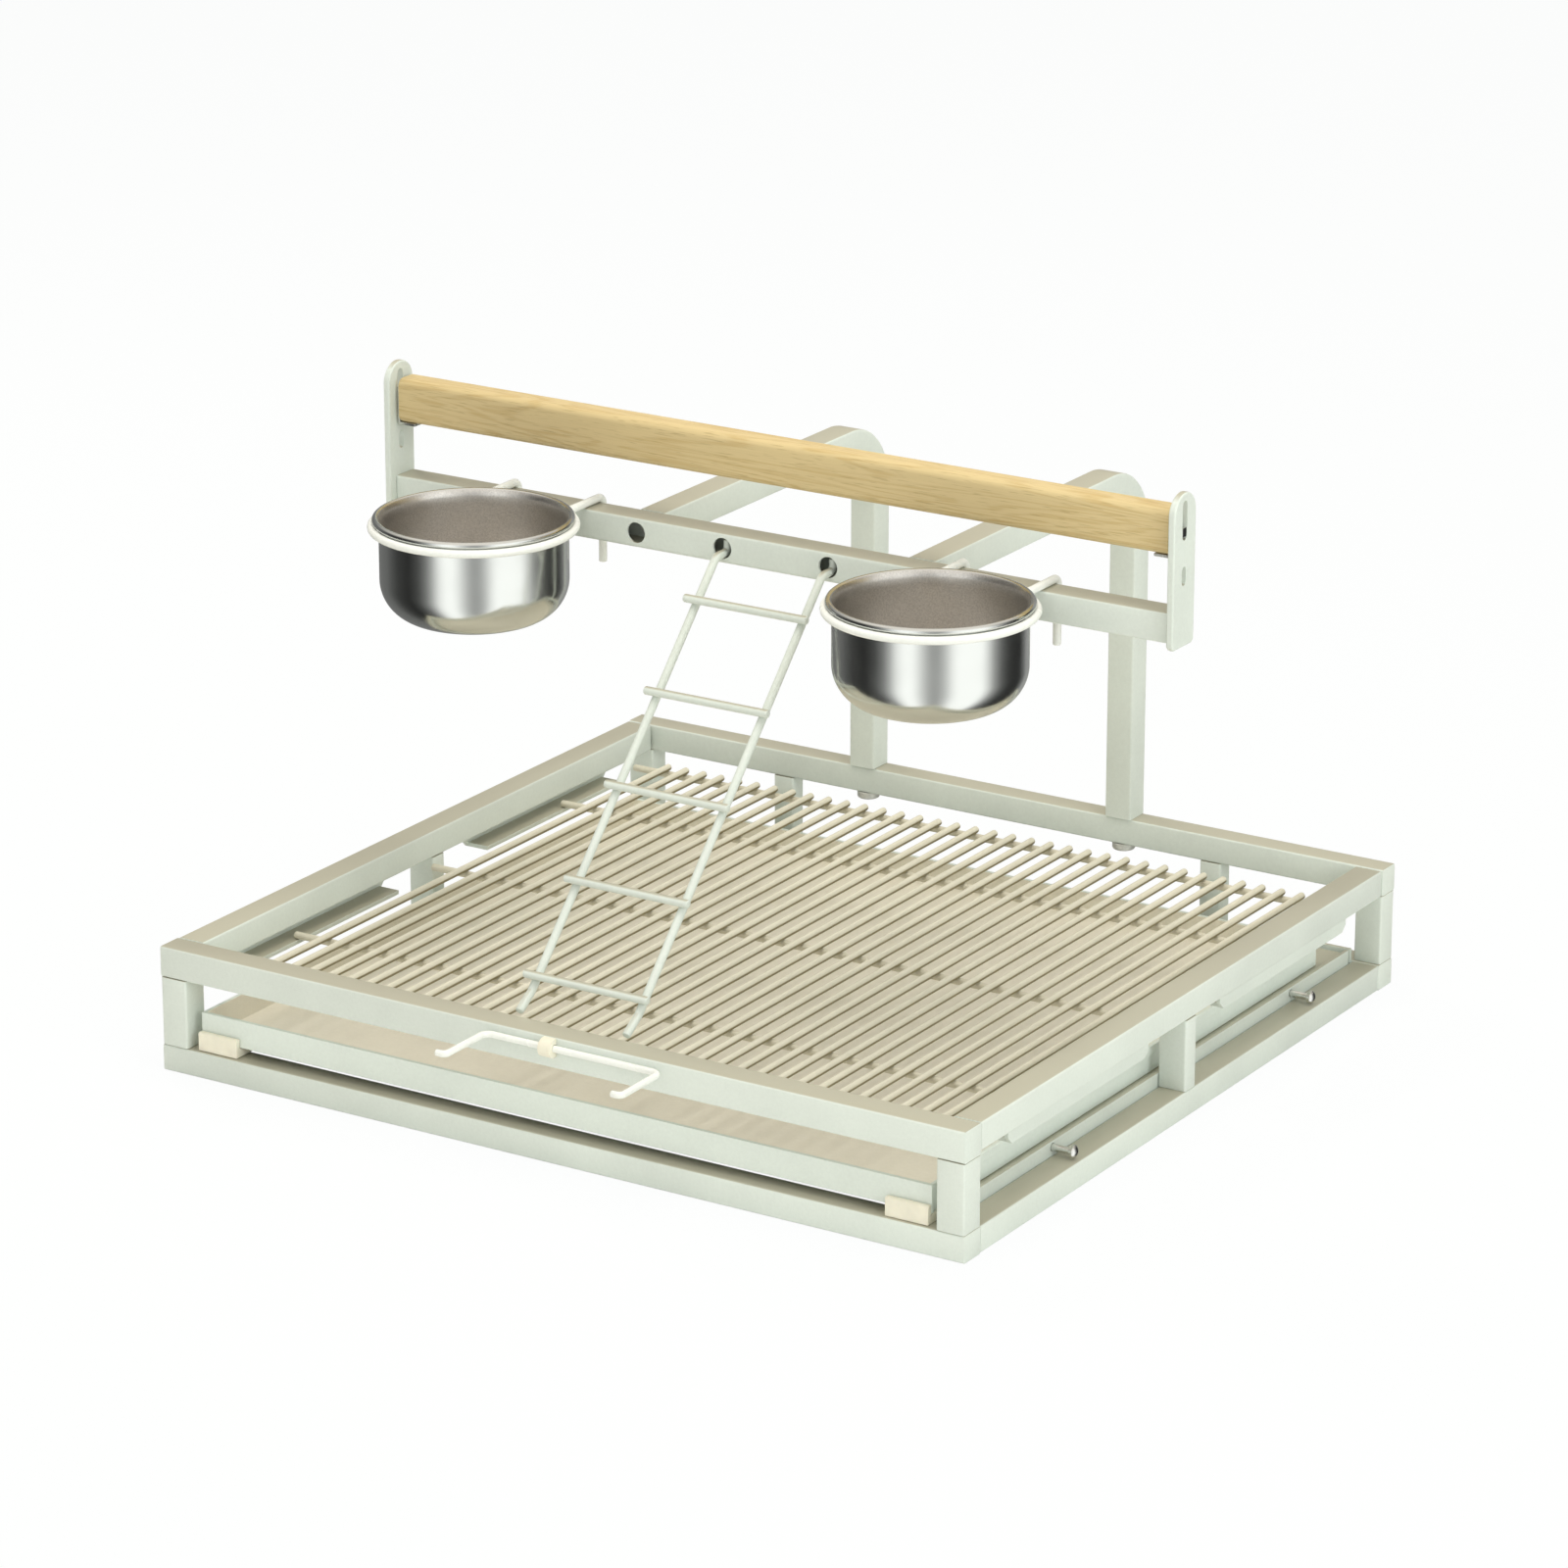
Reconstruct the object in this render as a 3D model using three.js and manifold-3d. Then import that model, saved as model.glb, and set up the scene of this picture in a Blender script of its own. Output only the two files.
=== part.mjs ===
// Parrot play stand: a low tube base with a slide-out tray under a wire grate, two swept
// uprights carrying a cross bar with a wooden perch, two cups in wire rings and a ladder.
// Units are millimetres, +Z is up, the front faces -Y and the stand rests on z = 0.

import * as THREE from 'three';
import { mergeVertices } from 'three/addons/utils/BufferGeometryUtils.js';
import Module from 'manifold-3d';

const wasm = await Module();
wasm.setup();

// ---- fits and roundings shared by many pieces ----
const SEAT_GAP = 0.3; // between two pieces that rest on or meet each other
const TUBE_EDGE = 1.2; // chamfer on the long edges of a tube
const ROUND_SIDES = 16; // sides of a bolt, a bore or a round head
const WIRE_SIDES = 8; // sides of a bent wire
const BEND_STEPS = 4; // straight steps in one wire bend

// ---- base frame ----
const BASE_WIDTH = 610;
const BASE_DEPTH = 574;
const BASE_HEIGHT = 86.4;
const RAIL_WIDTH = 20; // every rail, seen from above
const BACK_RAIL_WIDTH = 18;
const FRONT_TOP_RAIL_HEIGHT = 21;
const TOP_RAIL_HEIGHT = 19; // side and back top rails
const BOTTOM_RAIL_HEIGHT = 18;
const SIDE_POST_WIDTH = 14;
const BACK_POST_WIDTH = 16;
const BACK_POST_DEPTH = 14.5;
const BACK_POST_INSET = 132; // its middle from the base's side

// ---- uprights, cross bar and end plates ----
const CROSS_X = -2.8; // the cross frame's middle, off the base's middle
const UPRIGHT_SIZE = 20;
const UPRIGHT_X = 103.7; // each way from the cross frame's middle
const UPRIGHT_BEND = 50; // outer radius
const BEND_SEGMENTS = 10;
const BAR_TOP = 342;
const BAR_SIZE = 20;
const BAR_BACK_Y = 0;
const BAR_WALL = 1.8;
const BAR_HALF = 296.7;
const FRONT_HOLE_RADIUS = 7;
const LADDER_HOLE_X = 40.6; // each way from the ladder's middle
const LADDER_X = 1.5;
const PLATE_THICKNESS = 5;
const PLATE_WIDTH = 28;
const PLATE_LEAD = 6; // in front of the bar
const PLATE_DROP = 23; // below the bar's top
const PLATE_RISE = 78; // above the bar's top
const PLATE_CORNER = 2.5;
const PLATE_EDGE = 0.8;
const LONG_SLOT = { belowTop: 5, length: 26, width: 6.2 };
const SHORT_SLOT = { belowTop: 48, length: 12.5, width: 5.4 };
const SLOT_INSET = 13.2; // both slots' middle from the plate's front edge

// ---- bolts ----
const BAR_BOLT = { head: 5.4, headLength: 5, shank: 3, length: 19, clearance: 0.3 };
const BASE_BOLT = { head: 8, headLength: 5.2, shank: 4, length: 48, clearance: 0.4 };
const RUNNER_BOLT = { head: 4.4, headLength: 4.6, shank: 2.4, reach: 15.4, clearance: 0.3 };
const RUNNER_BOLT_Y = [-143, 178];
const RUNNER_BOLT_RISE = 5; // above the bottom rail

// ---- perch ----
const PERCH_THICKNESS = 20;
const PERCH_HEIGHT = 30;
const PERCH_DROP = 9.6; // below the long slots' feet
const PERCH_CORNER = 5;
const PERCH_CORNER_STEPS = 5;
const BRACKET_PLATE = 2;
const BRACKET_LEG = 14;
const BRACKET_WIDTH = 15;
const BRACKET_HEIGHT = 26;
const TONGUE_WIDTH = 5.2;
const TONGUE_HEIGHT = 6;
const TONGUE_LIFT = 2.2; // above the slot's round foot
const TONGUE_SHORT = 0.2; // inside the plate's outer face

// ---- cups and their wire rings ----
const RING_WIRE = 2.75;
const RING_RADIUS = 67;
const RING_REACH = 78; // its middle in front of the bar
const RING_SEGMENTS = 40;
const LEFT_RING_INSET = 117.5; // its middle from the bar's end
const RIGHT_RING_INSET = 127.9;
const HOOK_X = 34; // each way from the ring's middle
const HOOK_BEND = 5;
const HOOK_DROP = 42; // the hooks' ends below the bar's top
const CUP_PLAY = 4.5; // between the cup's side and the ring's middle line
const CUP_WALL = 1.2;
const CUP_DROP = 60; // the cup's bottom below the bar's top
const CUP_CORNER = 27.5;
const CUP_CORNER_STEPS = 6;
const CUP_BEAD = 2.3;
const CUP_BEAD_INSET = 2.6; // its middle inside the ring's middle line
const CUP_BEAD_LIFT = 4.75; // its middle above the ring's
const CUP_SEGMENTS = 40;

// ---- ladder ----
const LADDER_WIRE = 2.8;
const HOOK_TIP_INSET = 7; // behind the bar's front face
const HOOK_TIP_DROP = 5.5; // below the bar's top, turned up inside the bar
const HOOK_TIP_BEND = 4;
const STILE_BEND = 8;
const KNEE_INSET = 41; // behind the base's front face
const KNEE_RISE = 9.2; // above the base's top
const FOOT_INSET = 26.5;
const FOOT_DROP = 0.2; // below the base's top
const RUNG_COUNT = 5;
const FIRST_RUNG_LEAD = 31.2; // in front of the bar
const FIRST_RUNG_DROP = 39.6; // below the bar's top
const LAST_RUNG_INSET = 5.8; // behind the knee
const RUNG_OVERHANG = 6.5; // past each stile's middle

// ---- grate and its ledges ----
const GRATE_WIRE = 2.5;
const GRATE_SIDES = 6;
const LONG_WIRE_COUNT = 35;
const GRATE_SIDE_MARGIN = 29; // the outermost long wires from the side rails
const GRATE_FRONT_GAP = 3; // to the front rail
const GRATE_BACK_GAP = 20; // to the back rail
const CROSS_WIRE_PITCH = 159;
const CROSS_WIRE_GAP = 1; // to the side rails
const END_WIRE_INSET = 3.2;
const WELD_DEPTH = 0.4; // how far one wire sinks into another
const LEDGE_DROP = 27.9; // the shelf's top below the base's top
const LEDGE_THICKNESS = 3;
const LEDGE_WIDTH = 19;
const LEDGE_INSET = 5; // from the base's side
const LEDGE_START_Y = 48;
const LEDGE_END_INSET = 61; // from the base's front and back
const LEDGE_CORNER = 5;

// ---- tray, its glides and runners ----
const TRAY_SIDE_GAP = 7; // to the side rails
const TRAY_FRONT_INSET = 7; // behind the base's front face
const TRAY_BACK_GAP = 36; // to the bottom back rail
const TRAY_RISE = 6.8; // above the bottom rails
const TRAY_HEIGHT = 18.8;
const TRAY_WALL = 1.4;
const TRAY_FLOOR = 1.4;
const TRAY_FRONT_WALL = 3;
const TRAY_HEM = 1.5; // outward, on the sides and back
const TRAY_HEM_HEIGHT = 6;
const GLIDE_WIDTH = 31;
const GLIDE_DEPTH = 22.5;
const GLIDE_FRONT_INSET = 2.5; // behind the base's front face
const GLIDE_LIP = 6.2; // up the tray's front
const RUNNER_WALL = 2.8;
const RUNNER_RISE = 2.4; // above the tray's bottom
const RUNNER_BOTTOM = 5;
const RUNNER_SHELF = 2.2;
const RUNNER_OVERLAP = 16; // the shelf under the tray's edge
const RUNNER_FRONT_GAP = 1; // to the glide
const RUNNER_BACK_GAP = 5; // to the bottom back rail
const STOP_THICKNESS = 3;

// ---- front wire bail and its clip ----
const BAIL_WIRE = 2.25;
const BAIL_LEFT_X = -45;
const BAIL_RIGHT_X = 87;
const BAIL_DROP = 6.4; // below the base's top
const BAIL_LENGTH = 47; // in front of the base
const BAIL_TIP_TURN = 7;
const BAIL_BEND = 6;
const BAIL_TIP_BEND = 3;
const CLIP_X = 3;
const CLIP_WIDTH = 9;
const CLIP_RADIUS = 6.2;
const CLIP_STEPS = 10;

// ---- places that follow from the sizes ----
const FRONT_Y = -BASE_DEPTH / 2;
const BACK_Y = BASE_DEPTH / 2;
const SIDE_X = BASE_WIDTH / 2;
const RAIL_INNER_X = SIDE_X - RAIL_WIDTH;
const BACK_POST_X = SIDE_X - BACK_POST_INSET;
const RUNNER_BOLT_Z = BOTTOM_RAIL_HEIGHT + RUNNER_BOLT_RISE;

const BAR_MID_Z = BAR_TOP - BAR_SIZE / 2;
const BAR_FRONT_Y = BAR_BACK_Y - BAR_SIZE;
const PLATE_FRONT_Y = BAR_FRONT_Y - PLATE_LEAD;
const PLATE_BOTTOM = BAR_TOP - PLATE_DROP;
const PLATE_TOP = BAR_TOP + PLATE_RISE;
const SLOT_Y = PLATE_FRONT_Y + SLOT_INSET;
const SLOT_FOOT = PLATE_TOP - LONG_SLOT.belowTop - LONG_SLOT.length;
const PERCH_BOTTOM = SLOT_FOOT - PERCH_DROP;

const RING_Y = BAR_FRONT_Y - RING_REACH;
const RING_Z = BAR_TOP + SEAT_GAP + RING_WIRE;
const LEFT_RING_X = CROSS_X - BAR_HALF + LEFT_RING_INSET;
const RIGHT_RING_X = CROSS_X + BAR_HALF - RIGHT_RING_INSET;
const HOOK_END_Z = BAR_TOP - HOOK_DROP;
const CUP_RADIUS = RING_RADIUS - CUP_PLAY;
const CUP_BOTTOM = BAR_TOP - CUP_DROP;
const CUP_BEAD_RADIUS = RING_RADIUS - CUP_BEAD_INSET;
const CUP_BEAD_Z = RING_Z + CUP_BEAD_LIFT;

const HOOK_TIP = { y: BAR_FRONT_Y + HOOK_TIP_INSET, z: BAR_TOP - HOOK_TIP_DROP };
const FIRST_RUNG = { y: BAR_FRONT_Y - FIRST_RUNG_LEAD, z: BAR_TOP - FIRST_RUNG_DROP };
const STILE_KNEE = { y: FRONT_Y + KNEE_INSET, z: BASE_HEIGHT + KNEE_RISE };
const STILE_FOOT = { y: FRONT_Y + FOOT_INSET, z: BASE_HEIGHT - FOOT_DROP };
const STILE_RUN = FIRST_RUNG.y - STILE_KNEE.y;
const STILE_SLOPE = (FIRST_RUNG.z - STILE_KNEE.z) / STILE_RUN;
const RUNG_STEP_Y = (STILE_RUN - LAST_RUNG_INSET) / (RUNG_COUNT - 1);

const GRATE_FRONT_Y = FRONT_Y + RAIL_WIDTH + GRATE_FRONT_GAP;
const GRATE_BACK_Y = BACK_Y - RAIL_WIDTH - GRATE_BACK_GAP;
const LONG_WIRE_PITCH = (2 * (RAIL_INNER_X - GRATE_SIDE_MARGIN)) / (LONG_WIRE_COUNT - 1);
const CROSS_WIRE_HALF = RAIL_INNER_X - CROSS_WIRE_GAP;
const LEDGE_SHELF_TOP = BASE_HEIGHT - LEDGE_DROP;
const LEDGE_OUTER_X = SIDE_X - LEDGE_INSET;
const LEDGE_INNER_X = LEDGE_OUTER_X - LEDGE_WIDTH;
const LEDGE_END_Y = BACK_Y - LEDGE_END_INSET;

const TRAY_HALF_WIDTH = RAIL_INNER_X - TRAY_SIDE_GAP;
const TRAY_FRONT_Y = FRONT_Y + TRAY_FRONT_INSET;
const TRAY_BACK_Y = BACK_Y - RAIL_WIDTH - TRAY_BACK_GAP;
const TRAY_BOTTOM = BOTTOM_RAIL_HEIGHT + TRAY_RISE;
const TRAY_TOP = TRAY_BOTTOM + TRAY_HEIGHT;
const GLIDE_FRONT_Y = FRONT_Y + GLIDE_FRONT_INSET;
const GLIDE_BACK_Y = GLIDE_FRONT_Y + GLIDE_DEPTH;
const GLIDE_TOP = TRAY_BOTTOM + GLIDE_LIP;
const RUNNER_TOP = TRAY_BOTTOM + RUNNER_RISE;
const RUNNER_SHELF_INNER_X = TRAY_HALF_WIDTH - RUNNER_OVERLAP;
const RUNNER_FRONT_Y = GLIDE_BACK_Y + RUNNER_FRONT_GAP;
const RUNNER_BACK_Y = BACK_Y - RAIL_WIDTH - RUNNER_BACK_GAP;

const BAIL_Y = FRONT_Y - SEAT_GAP - BAIL_WIRE;
const BAIL_Z = BASE_HEIGHT - BAIL_DROP;
const BAIL_TIP_Y = FRONT_Y - BAIL_LENGTH;

// ---- materials ----
const material = (color, roughness, metalness) =>
  new THREE.MeshStandardMaterial({ color, roughness, metalness });
const enamel = material(0xd5dacb, 0.38, 0.0);
const grateEnamel = material(0xd6cdb2, 0.42, 0.0);
const trayEnamel = material(0xdfeadf, 0.35, 0.0);
const wireEnamel = material(0xe4e9e4, 0.3, 0.0);
const polishedSteel = material(0xc9ccca, 0.08, 1.0);
const boltSteel = material(0xa9aaa4, 0.3, 1.0);
const darkSteel = material(0x3a3733, 0.5, 1.0);
const oak = material(0xdcc08a, 0.55, 0.0);
const creamPlastic = material(0xe9e3cf, 0.4, 0.0);

// ---- solid geometry helpers ----
function toSolid(geometry) {
  const bare = geometry.clone();
  bare.deleteAttribute('normal');
  bare.deleteAttribute('uv');
  const merged = mergeVertices(bare, 1e-4);
  return new wasm.Manifold(new wasm.Mesh({
    numProp: 3,
    vertProperties: new Float32Array(merged.attributes.position.array),
    triVerts: new Uint32Array(merged.index.array),
  }));
}

function toGeometry(solid) {
  const mesh = solid.getMesh();
  const geometry = new THREE.BufferGeometry();
  geometry.setAttribute('position', new THREE.BufferAttribute(mesh.vertProperties, mesh.numProp));
  geometry.setIndex(new THREE.BufferAttribute(mesh.triVerts, 1));
  geometry.computeVertexNormals();
  return geometry;
}

function cut(geometry, cutters) {
  const solid = cutters.reduce((body, cutter) => body.subtract(toSolid(cutter)), toSolid(geometry));
  return toGeometry(solid);
}

function join(geometries) {
  const solids = geometries.map(toSolid);
  return toGeometry(solids.reduce((body, piece) => body.add(piece)));
}

// A box between two corners given as [x, y, z].
function boxBetween(low, high) {
  const size = low.map((value, axis) => high[axis] - value);
  const middle = low.map((value, axis) => (high[axis] + value) / 2);
  return new THREE.BoxGeometry(...size).translate(...middle);
}

// A rectangle outline with chamfered corners, centred on the origin.
function chamferedOutline(width, height, edge) {
  const x = width / 2;
  const y = height / 2;
  return new THREE.Shape([
    new THREE.Vector2(-x + edge, -y), new THREE.Vector2(x - edge, -y),
    new THREE.Vector2(x, -y + edge), new THREE.Vector2(x, y - edge),
    new THREE.Vector2(x - edge, y), new THREE.Vector2(-x + edge, y),
    new THREE.Vector2(-x, y - edge), new THREE.Vector2(-x, -y + edge),
  ]);
}

// A tube with chamfered long edges between two corners, running along one axis.
function tubeBetween(low, high, axis, edge = TUBE_EDGE) {
  const size = low.map((value, i) => high[i] - value);
  const middle = low.map((value, i) => (high[i] + value) / 2);
  const across = { x: [size[1], size[2]], y: [size[0], size[2]], z: [size[0], size[1]] }[axis];
  const length = size['xyz'.indexOf(axis)];
  const geometry = new THREE.ExtrudeGeometry(chamferedOutline(...across, edge), {
    depth: length,
    bevelEnabled: false,
  }).translate(0, 0, -length / 2);
  if (axis === 'x') geometry.rotateX(Math.PI / 2).rotateZ(Math.PI / 2);
  if (axis === 'y') geometry.rotateX(Math.PI / 2);
  return geometry.translate(...middle);
}

// An outline in the Y-Z plane pushed along X from one x to another.
function extrudeAlongX(points, fromX, toX, edge = 0) {
  const shape = new THREE.Shape(points.map(([y, z]) => new THREE.Vector2(y, z)));
  const geometry = new THREE.ExtrudeGeometry(shape, {
    depth: toX - fromX - 2 * edge,
    bevelEnabled: edge > 0,
    bevelThickness: edge,
    bevelSize: edge,
    bevelOffset: -edge,
    bevelSegments: 1,
  });
  geometry.rotateX(Math.PI / 2).rotateZ(Math.PI / 2);
  return geometry.translate(fromX + edge, 0, 0);
}

// A round pin along X, Y or Z, from one end to the other.
function pin(radius, from, to, sides = ROUND_SIDES) {
  const start = new THREE.Vector3(...from);
  const end = new THREE.Vector3(...to);
  const span = end.clone().sub(start);
  const geometry = new THREE.CylinderGeometry(radius, radius, span.length(), sides);
  const turn = new THREE.Quaternion().setFromUnitVectors(
    new THREE.Vector3(0, 1, 0),
    span.clone().normalize(),
  );
  const middle = start.add(end).multiplyScalar(0.5);
  return geometry.applyQuaternion(turn).translate(middle.x, middle.y, middle.z);
}

// Points of an arc in a plane, angles in degrees.
function arc(centre, radius, fromDegrees, toDegrees, steps) {
  return Array.from({ length: steps + 1 }, (_, i) => {
    const angle = THREE.MathUtils.degToRad(fromDegrees + ((toDegrees - fromDegrees) * i) / steps);
    return [centre[0] + radius * Math.cos(angle), centre[1] + radius * Math.sin(angle)];
  });
}

// A wire's middle line: straight runs between its points, sampled only at those points.
class WirePath extends THREE.Curve {
  constructor(points) {
    super();
    this.points = points;
  }

  getPoint(t, target = new THREE.Vector3()) {
    const place = t * (this.points.length - 1);
    const i = Math.min(Math.floor(place), this.points.length - 2);
    return target.lerpVectors(this.points[i], this.points[i + 1], place - i);
  }

  getPointAt(u, target) {
    return this.getPoint(u, target);
  }

  // At a point the section stands square to the mean of the two runs that meet there.
  getTangentAt(u, target = new THREE.Vector3()) {
    const last = this.points.length - 1;
    const i = Math.round(u * last);
    const before = this.points[Math.max(i, 1)].clone().sub(this.points[Math.max(i, 1) - 1]);
    const after = this.points[Math.min(i + 1, last)].clone().sub(this.points[Math.min(i, last - 1)]);
    return target.copy(before.normalize().add(after.normalize())).normalize();
  }
}

// Corner points with each inner corner turned into a bend of its own radius.
function bentLine(corners, bends) {
  const points = [corners[0]];
  for (let i = 1; i < corners.length - 1; i += 1) {
    const back = corners[i - 1].clone().sub(corners[i]).normalize();
    const ahead = corners[i + 1].clone().sub(corners[i]).normalize();
    const turn = Math.PI - back.angleTo(ahead);
    const reach = bends[i - 1] * Math.tan(turn / 2);
    const start = corners[i].clone().addScaledVector(back, reach);
    const end = corners[i].clone().addScaledVector(ahead, reach);
    const toCentre = back.clone().add(ahead).normalize();
    const centre = corners[i].clone().addScaledVector(toCentre, bends[i - 1] / Math.cos(turn / 2));
    const spoke = start.clone().sub(centre);
    const axis = spoke.clone().cross(end.clone().sub(centre)).normalize();
    for (let step = 0; step <= BEND_STEPS; step += 1) {
      const swung = spoke.clone().applyAxisAngle(axis, (turn * step) / BEND_STEPS);
      points.push(swung.add(centre));
    }
  }
  points.push(corners[corners.length - 1]);
  return points;
}

function bentWire(corners, bends, radius) {
  const vectors = corners.map((corner) => new THREE.Vector3(...corner));
  const points = bentLine(vectors, bends);
  const section = Array.from({ length: WIRE_SIDES }, (_, i) => {
    const angle = ((i + 0.5) * 2 * Math.PI) / WIRE_SIDES;
    return new THREE.Vector2(radius * Math.cos(angle), radius * Math.sin(angle));
  });
  return new THREE.ExtrudeGeometry(new THREE.Shape(section), {
    steps: points.length - 1,
    extrudePath: new WirePath(points),
  });
}

// A turned piece about Z from a profile of [radius, height] points that starts and ends on the axis.
function turned(profile, segments = ROUND_SIDES) {
  const points = profile.map(([radius, height]) => new THREE.Vector2(radius, height));
  return new THREE.LatheGeometry(points, segments).rotateX(Math.PI / 2);
}

// ---- the scene ----
const stand = new THREE.Group();
stand.name = 'parrot_play_stand';

function add(name, geometry, surface) {
  const mesh = new THREE.Mesh(geometry, surface);
  mesh.name = name;
  stand.add(mesh);
  return mesh;
}

const SIDES = [{ name: 'left', sign: -1 }, { name: 'right', sign: 1 }];

// Low and high x of a span given outward from the middle, on one side.
function sideSpan(sign, inner, outer) {
  return sign < 0 ? [-outer, -inner] : [inner, outer];
}

// ---- base frame ----
function buildBase() {
  const topFloor = BASE_HEIGHT - TOP_RAIL_HEIGHT;
  const frontFloor = BASE_HEIGHT - FRONT_TOP_RAIL_HEIGHT;
  const frontInner = FRONT_Y + RAIL_WIDTH;
  const backInner = BACK_Y - RAIL_WIDTH;

  add('base_top_rail_front', tubeBetween(
    [-SIDE_X, FRONT_Y, frontFloor], [SIDE_X, frontInner, BASE_HEIGHT], 'x'), enamel);
  const backTop = tubeBetween(
    [-SIDE_X, BACK_Y - BACK_RAIL_WIDTH, topFloor], [SIDE_X, BACK_Y, BASE_HEIGHT], 'x');
  const boltBores = SIDES.map(({ sign }) => {
    const x = CROSS_X + sign * UPRIGHT_X;
    const y = BACK_Y - UPRIGHT_SIZE / 2;
    const radius = BASE_BOLT.shank + BASE_BOLT.clearance;
    return pin(radius, [x, y, topFloor - 1], [x, y, BASE_HEIGHT + 1]);
  });
  add('base_top_rail_back', cut(backTop, boltBores), enamel);
  add('base_bottom_rail_front', tubeBetween(
    [-SIDE_X, FRONT_Y, 0], [SIDE_X, frontInner, BOTTOM_RAIL_HEIGHT], 'x'), enamel);
  add('base_bottom_rail_back', tubeBetween(
    [-SIDE_X, backInner, 0], [SIDE_X, BACK_Y, BOTTOM_RAIL_HEIGHT], 'x'), enamel);

  for (const { name, sign } of SIDES) {
    const [low, high] = sideSpan(sign, RAIL_INNER_X, SIDE_X);
    const railEnd = backInner - SEAT_GAP;
    add(`base_top_rail_${name}`, tubeBetween(
      [low, frontInner + SEAT_GAP, topFloor], [high, railEnd, BASE_HEIGHT], 'y'), enamel);
    add(`base_bottom_rail_${name}`, tubeBetween(
      [low, frontInner + SEAT_GAP, 0], [high, railEnd, BOTTOM_RAIL_HEIGHT], 'y'), enamel);

    const postFoot = BOTTOM_RAIL_HEIGHT + SEAT_GAP;
    add(`base_corner_post_front_${name}`, tubeBetween(
      [low, FRONT_Y, postFoot], [high, frontInner, frontFloor - SEAT_GAP], 'z'), enamel);
    add(`base_corner_post_back_${name}`, tubeBetween(
      [low, BACK_Y - BACK_RAIL_WIDTH, postFoot], [high, BACK_Y, topFloor - SEAT_GAP], 'z'), enamel);
    add(`base_side_post_${name}`, tubeBetween(
      [low, -SIDE_POST_WIDTH / 2, postFoot],
      [high, SIDE_POST_WIDTH / 2, topFloor - SEAT_GAP], 'z'), enamel);

    const postX = sign * BACK_POST_X;
    add(`base_back_post_${name}`, tubeBetween(
      [postX - BACK_POST_WIDTH / 2, BACK_Y - BACK_RAIL_WIDTH, postFoot],
      [postX + BACK_POST_WIDTH / 2, BACK_Y - BACK_RAIL_WIDTH + BACK_POST_DEPTH,
        topFloor - SEAT_GAP], 'z'), enamel);
  }
}

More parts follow.
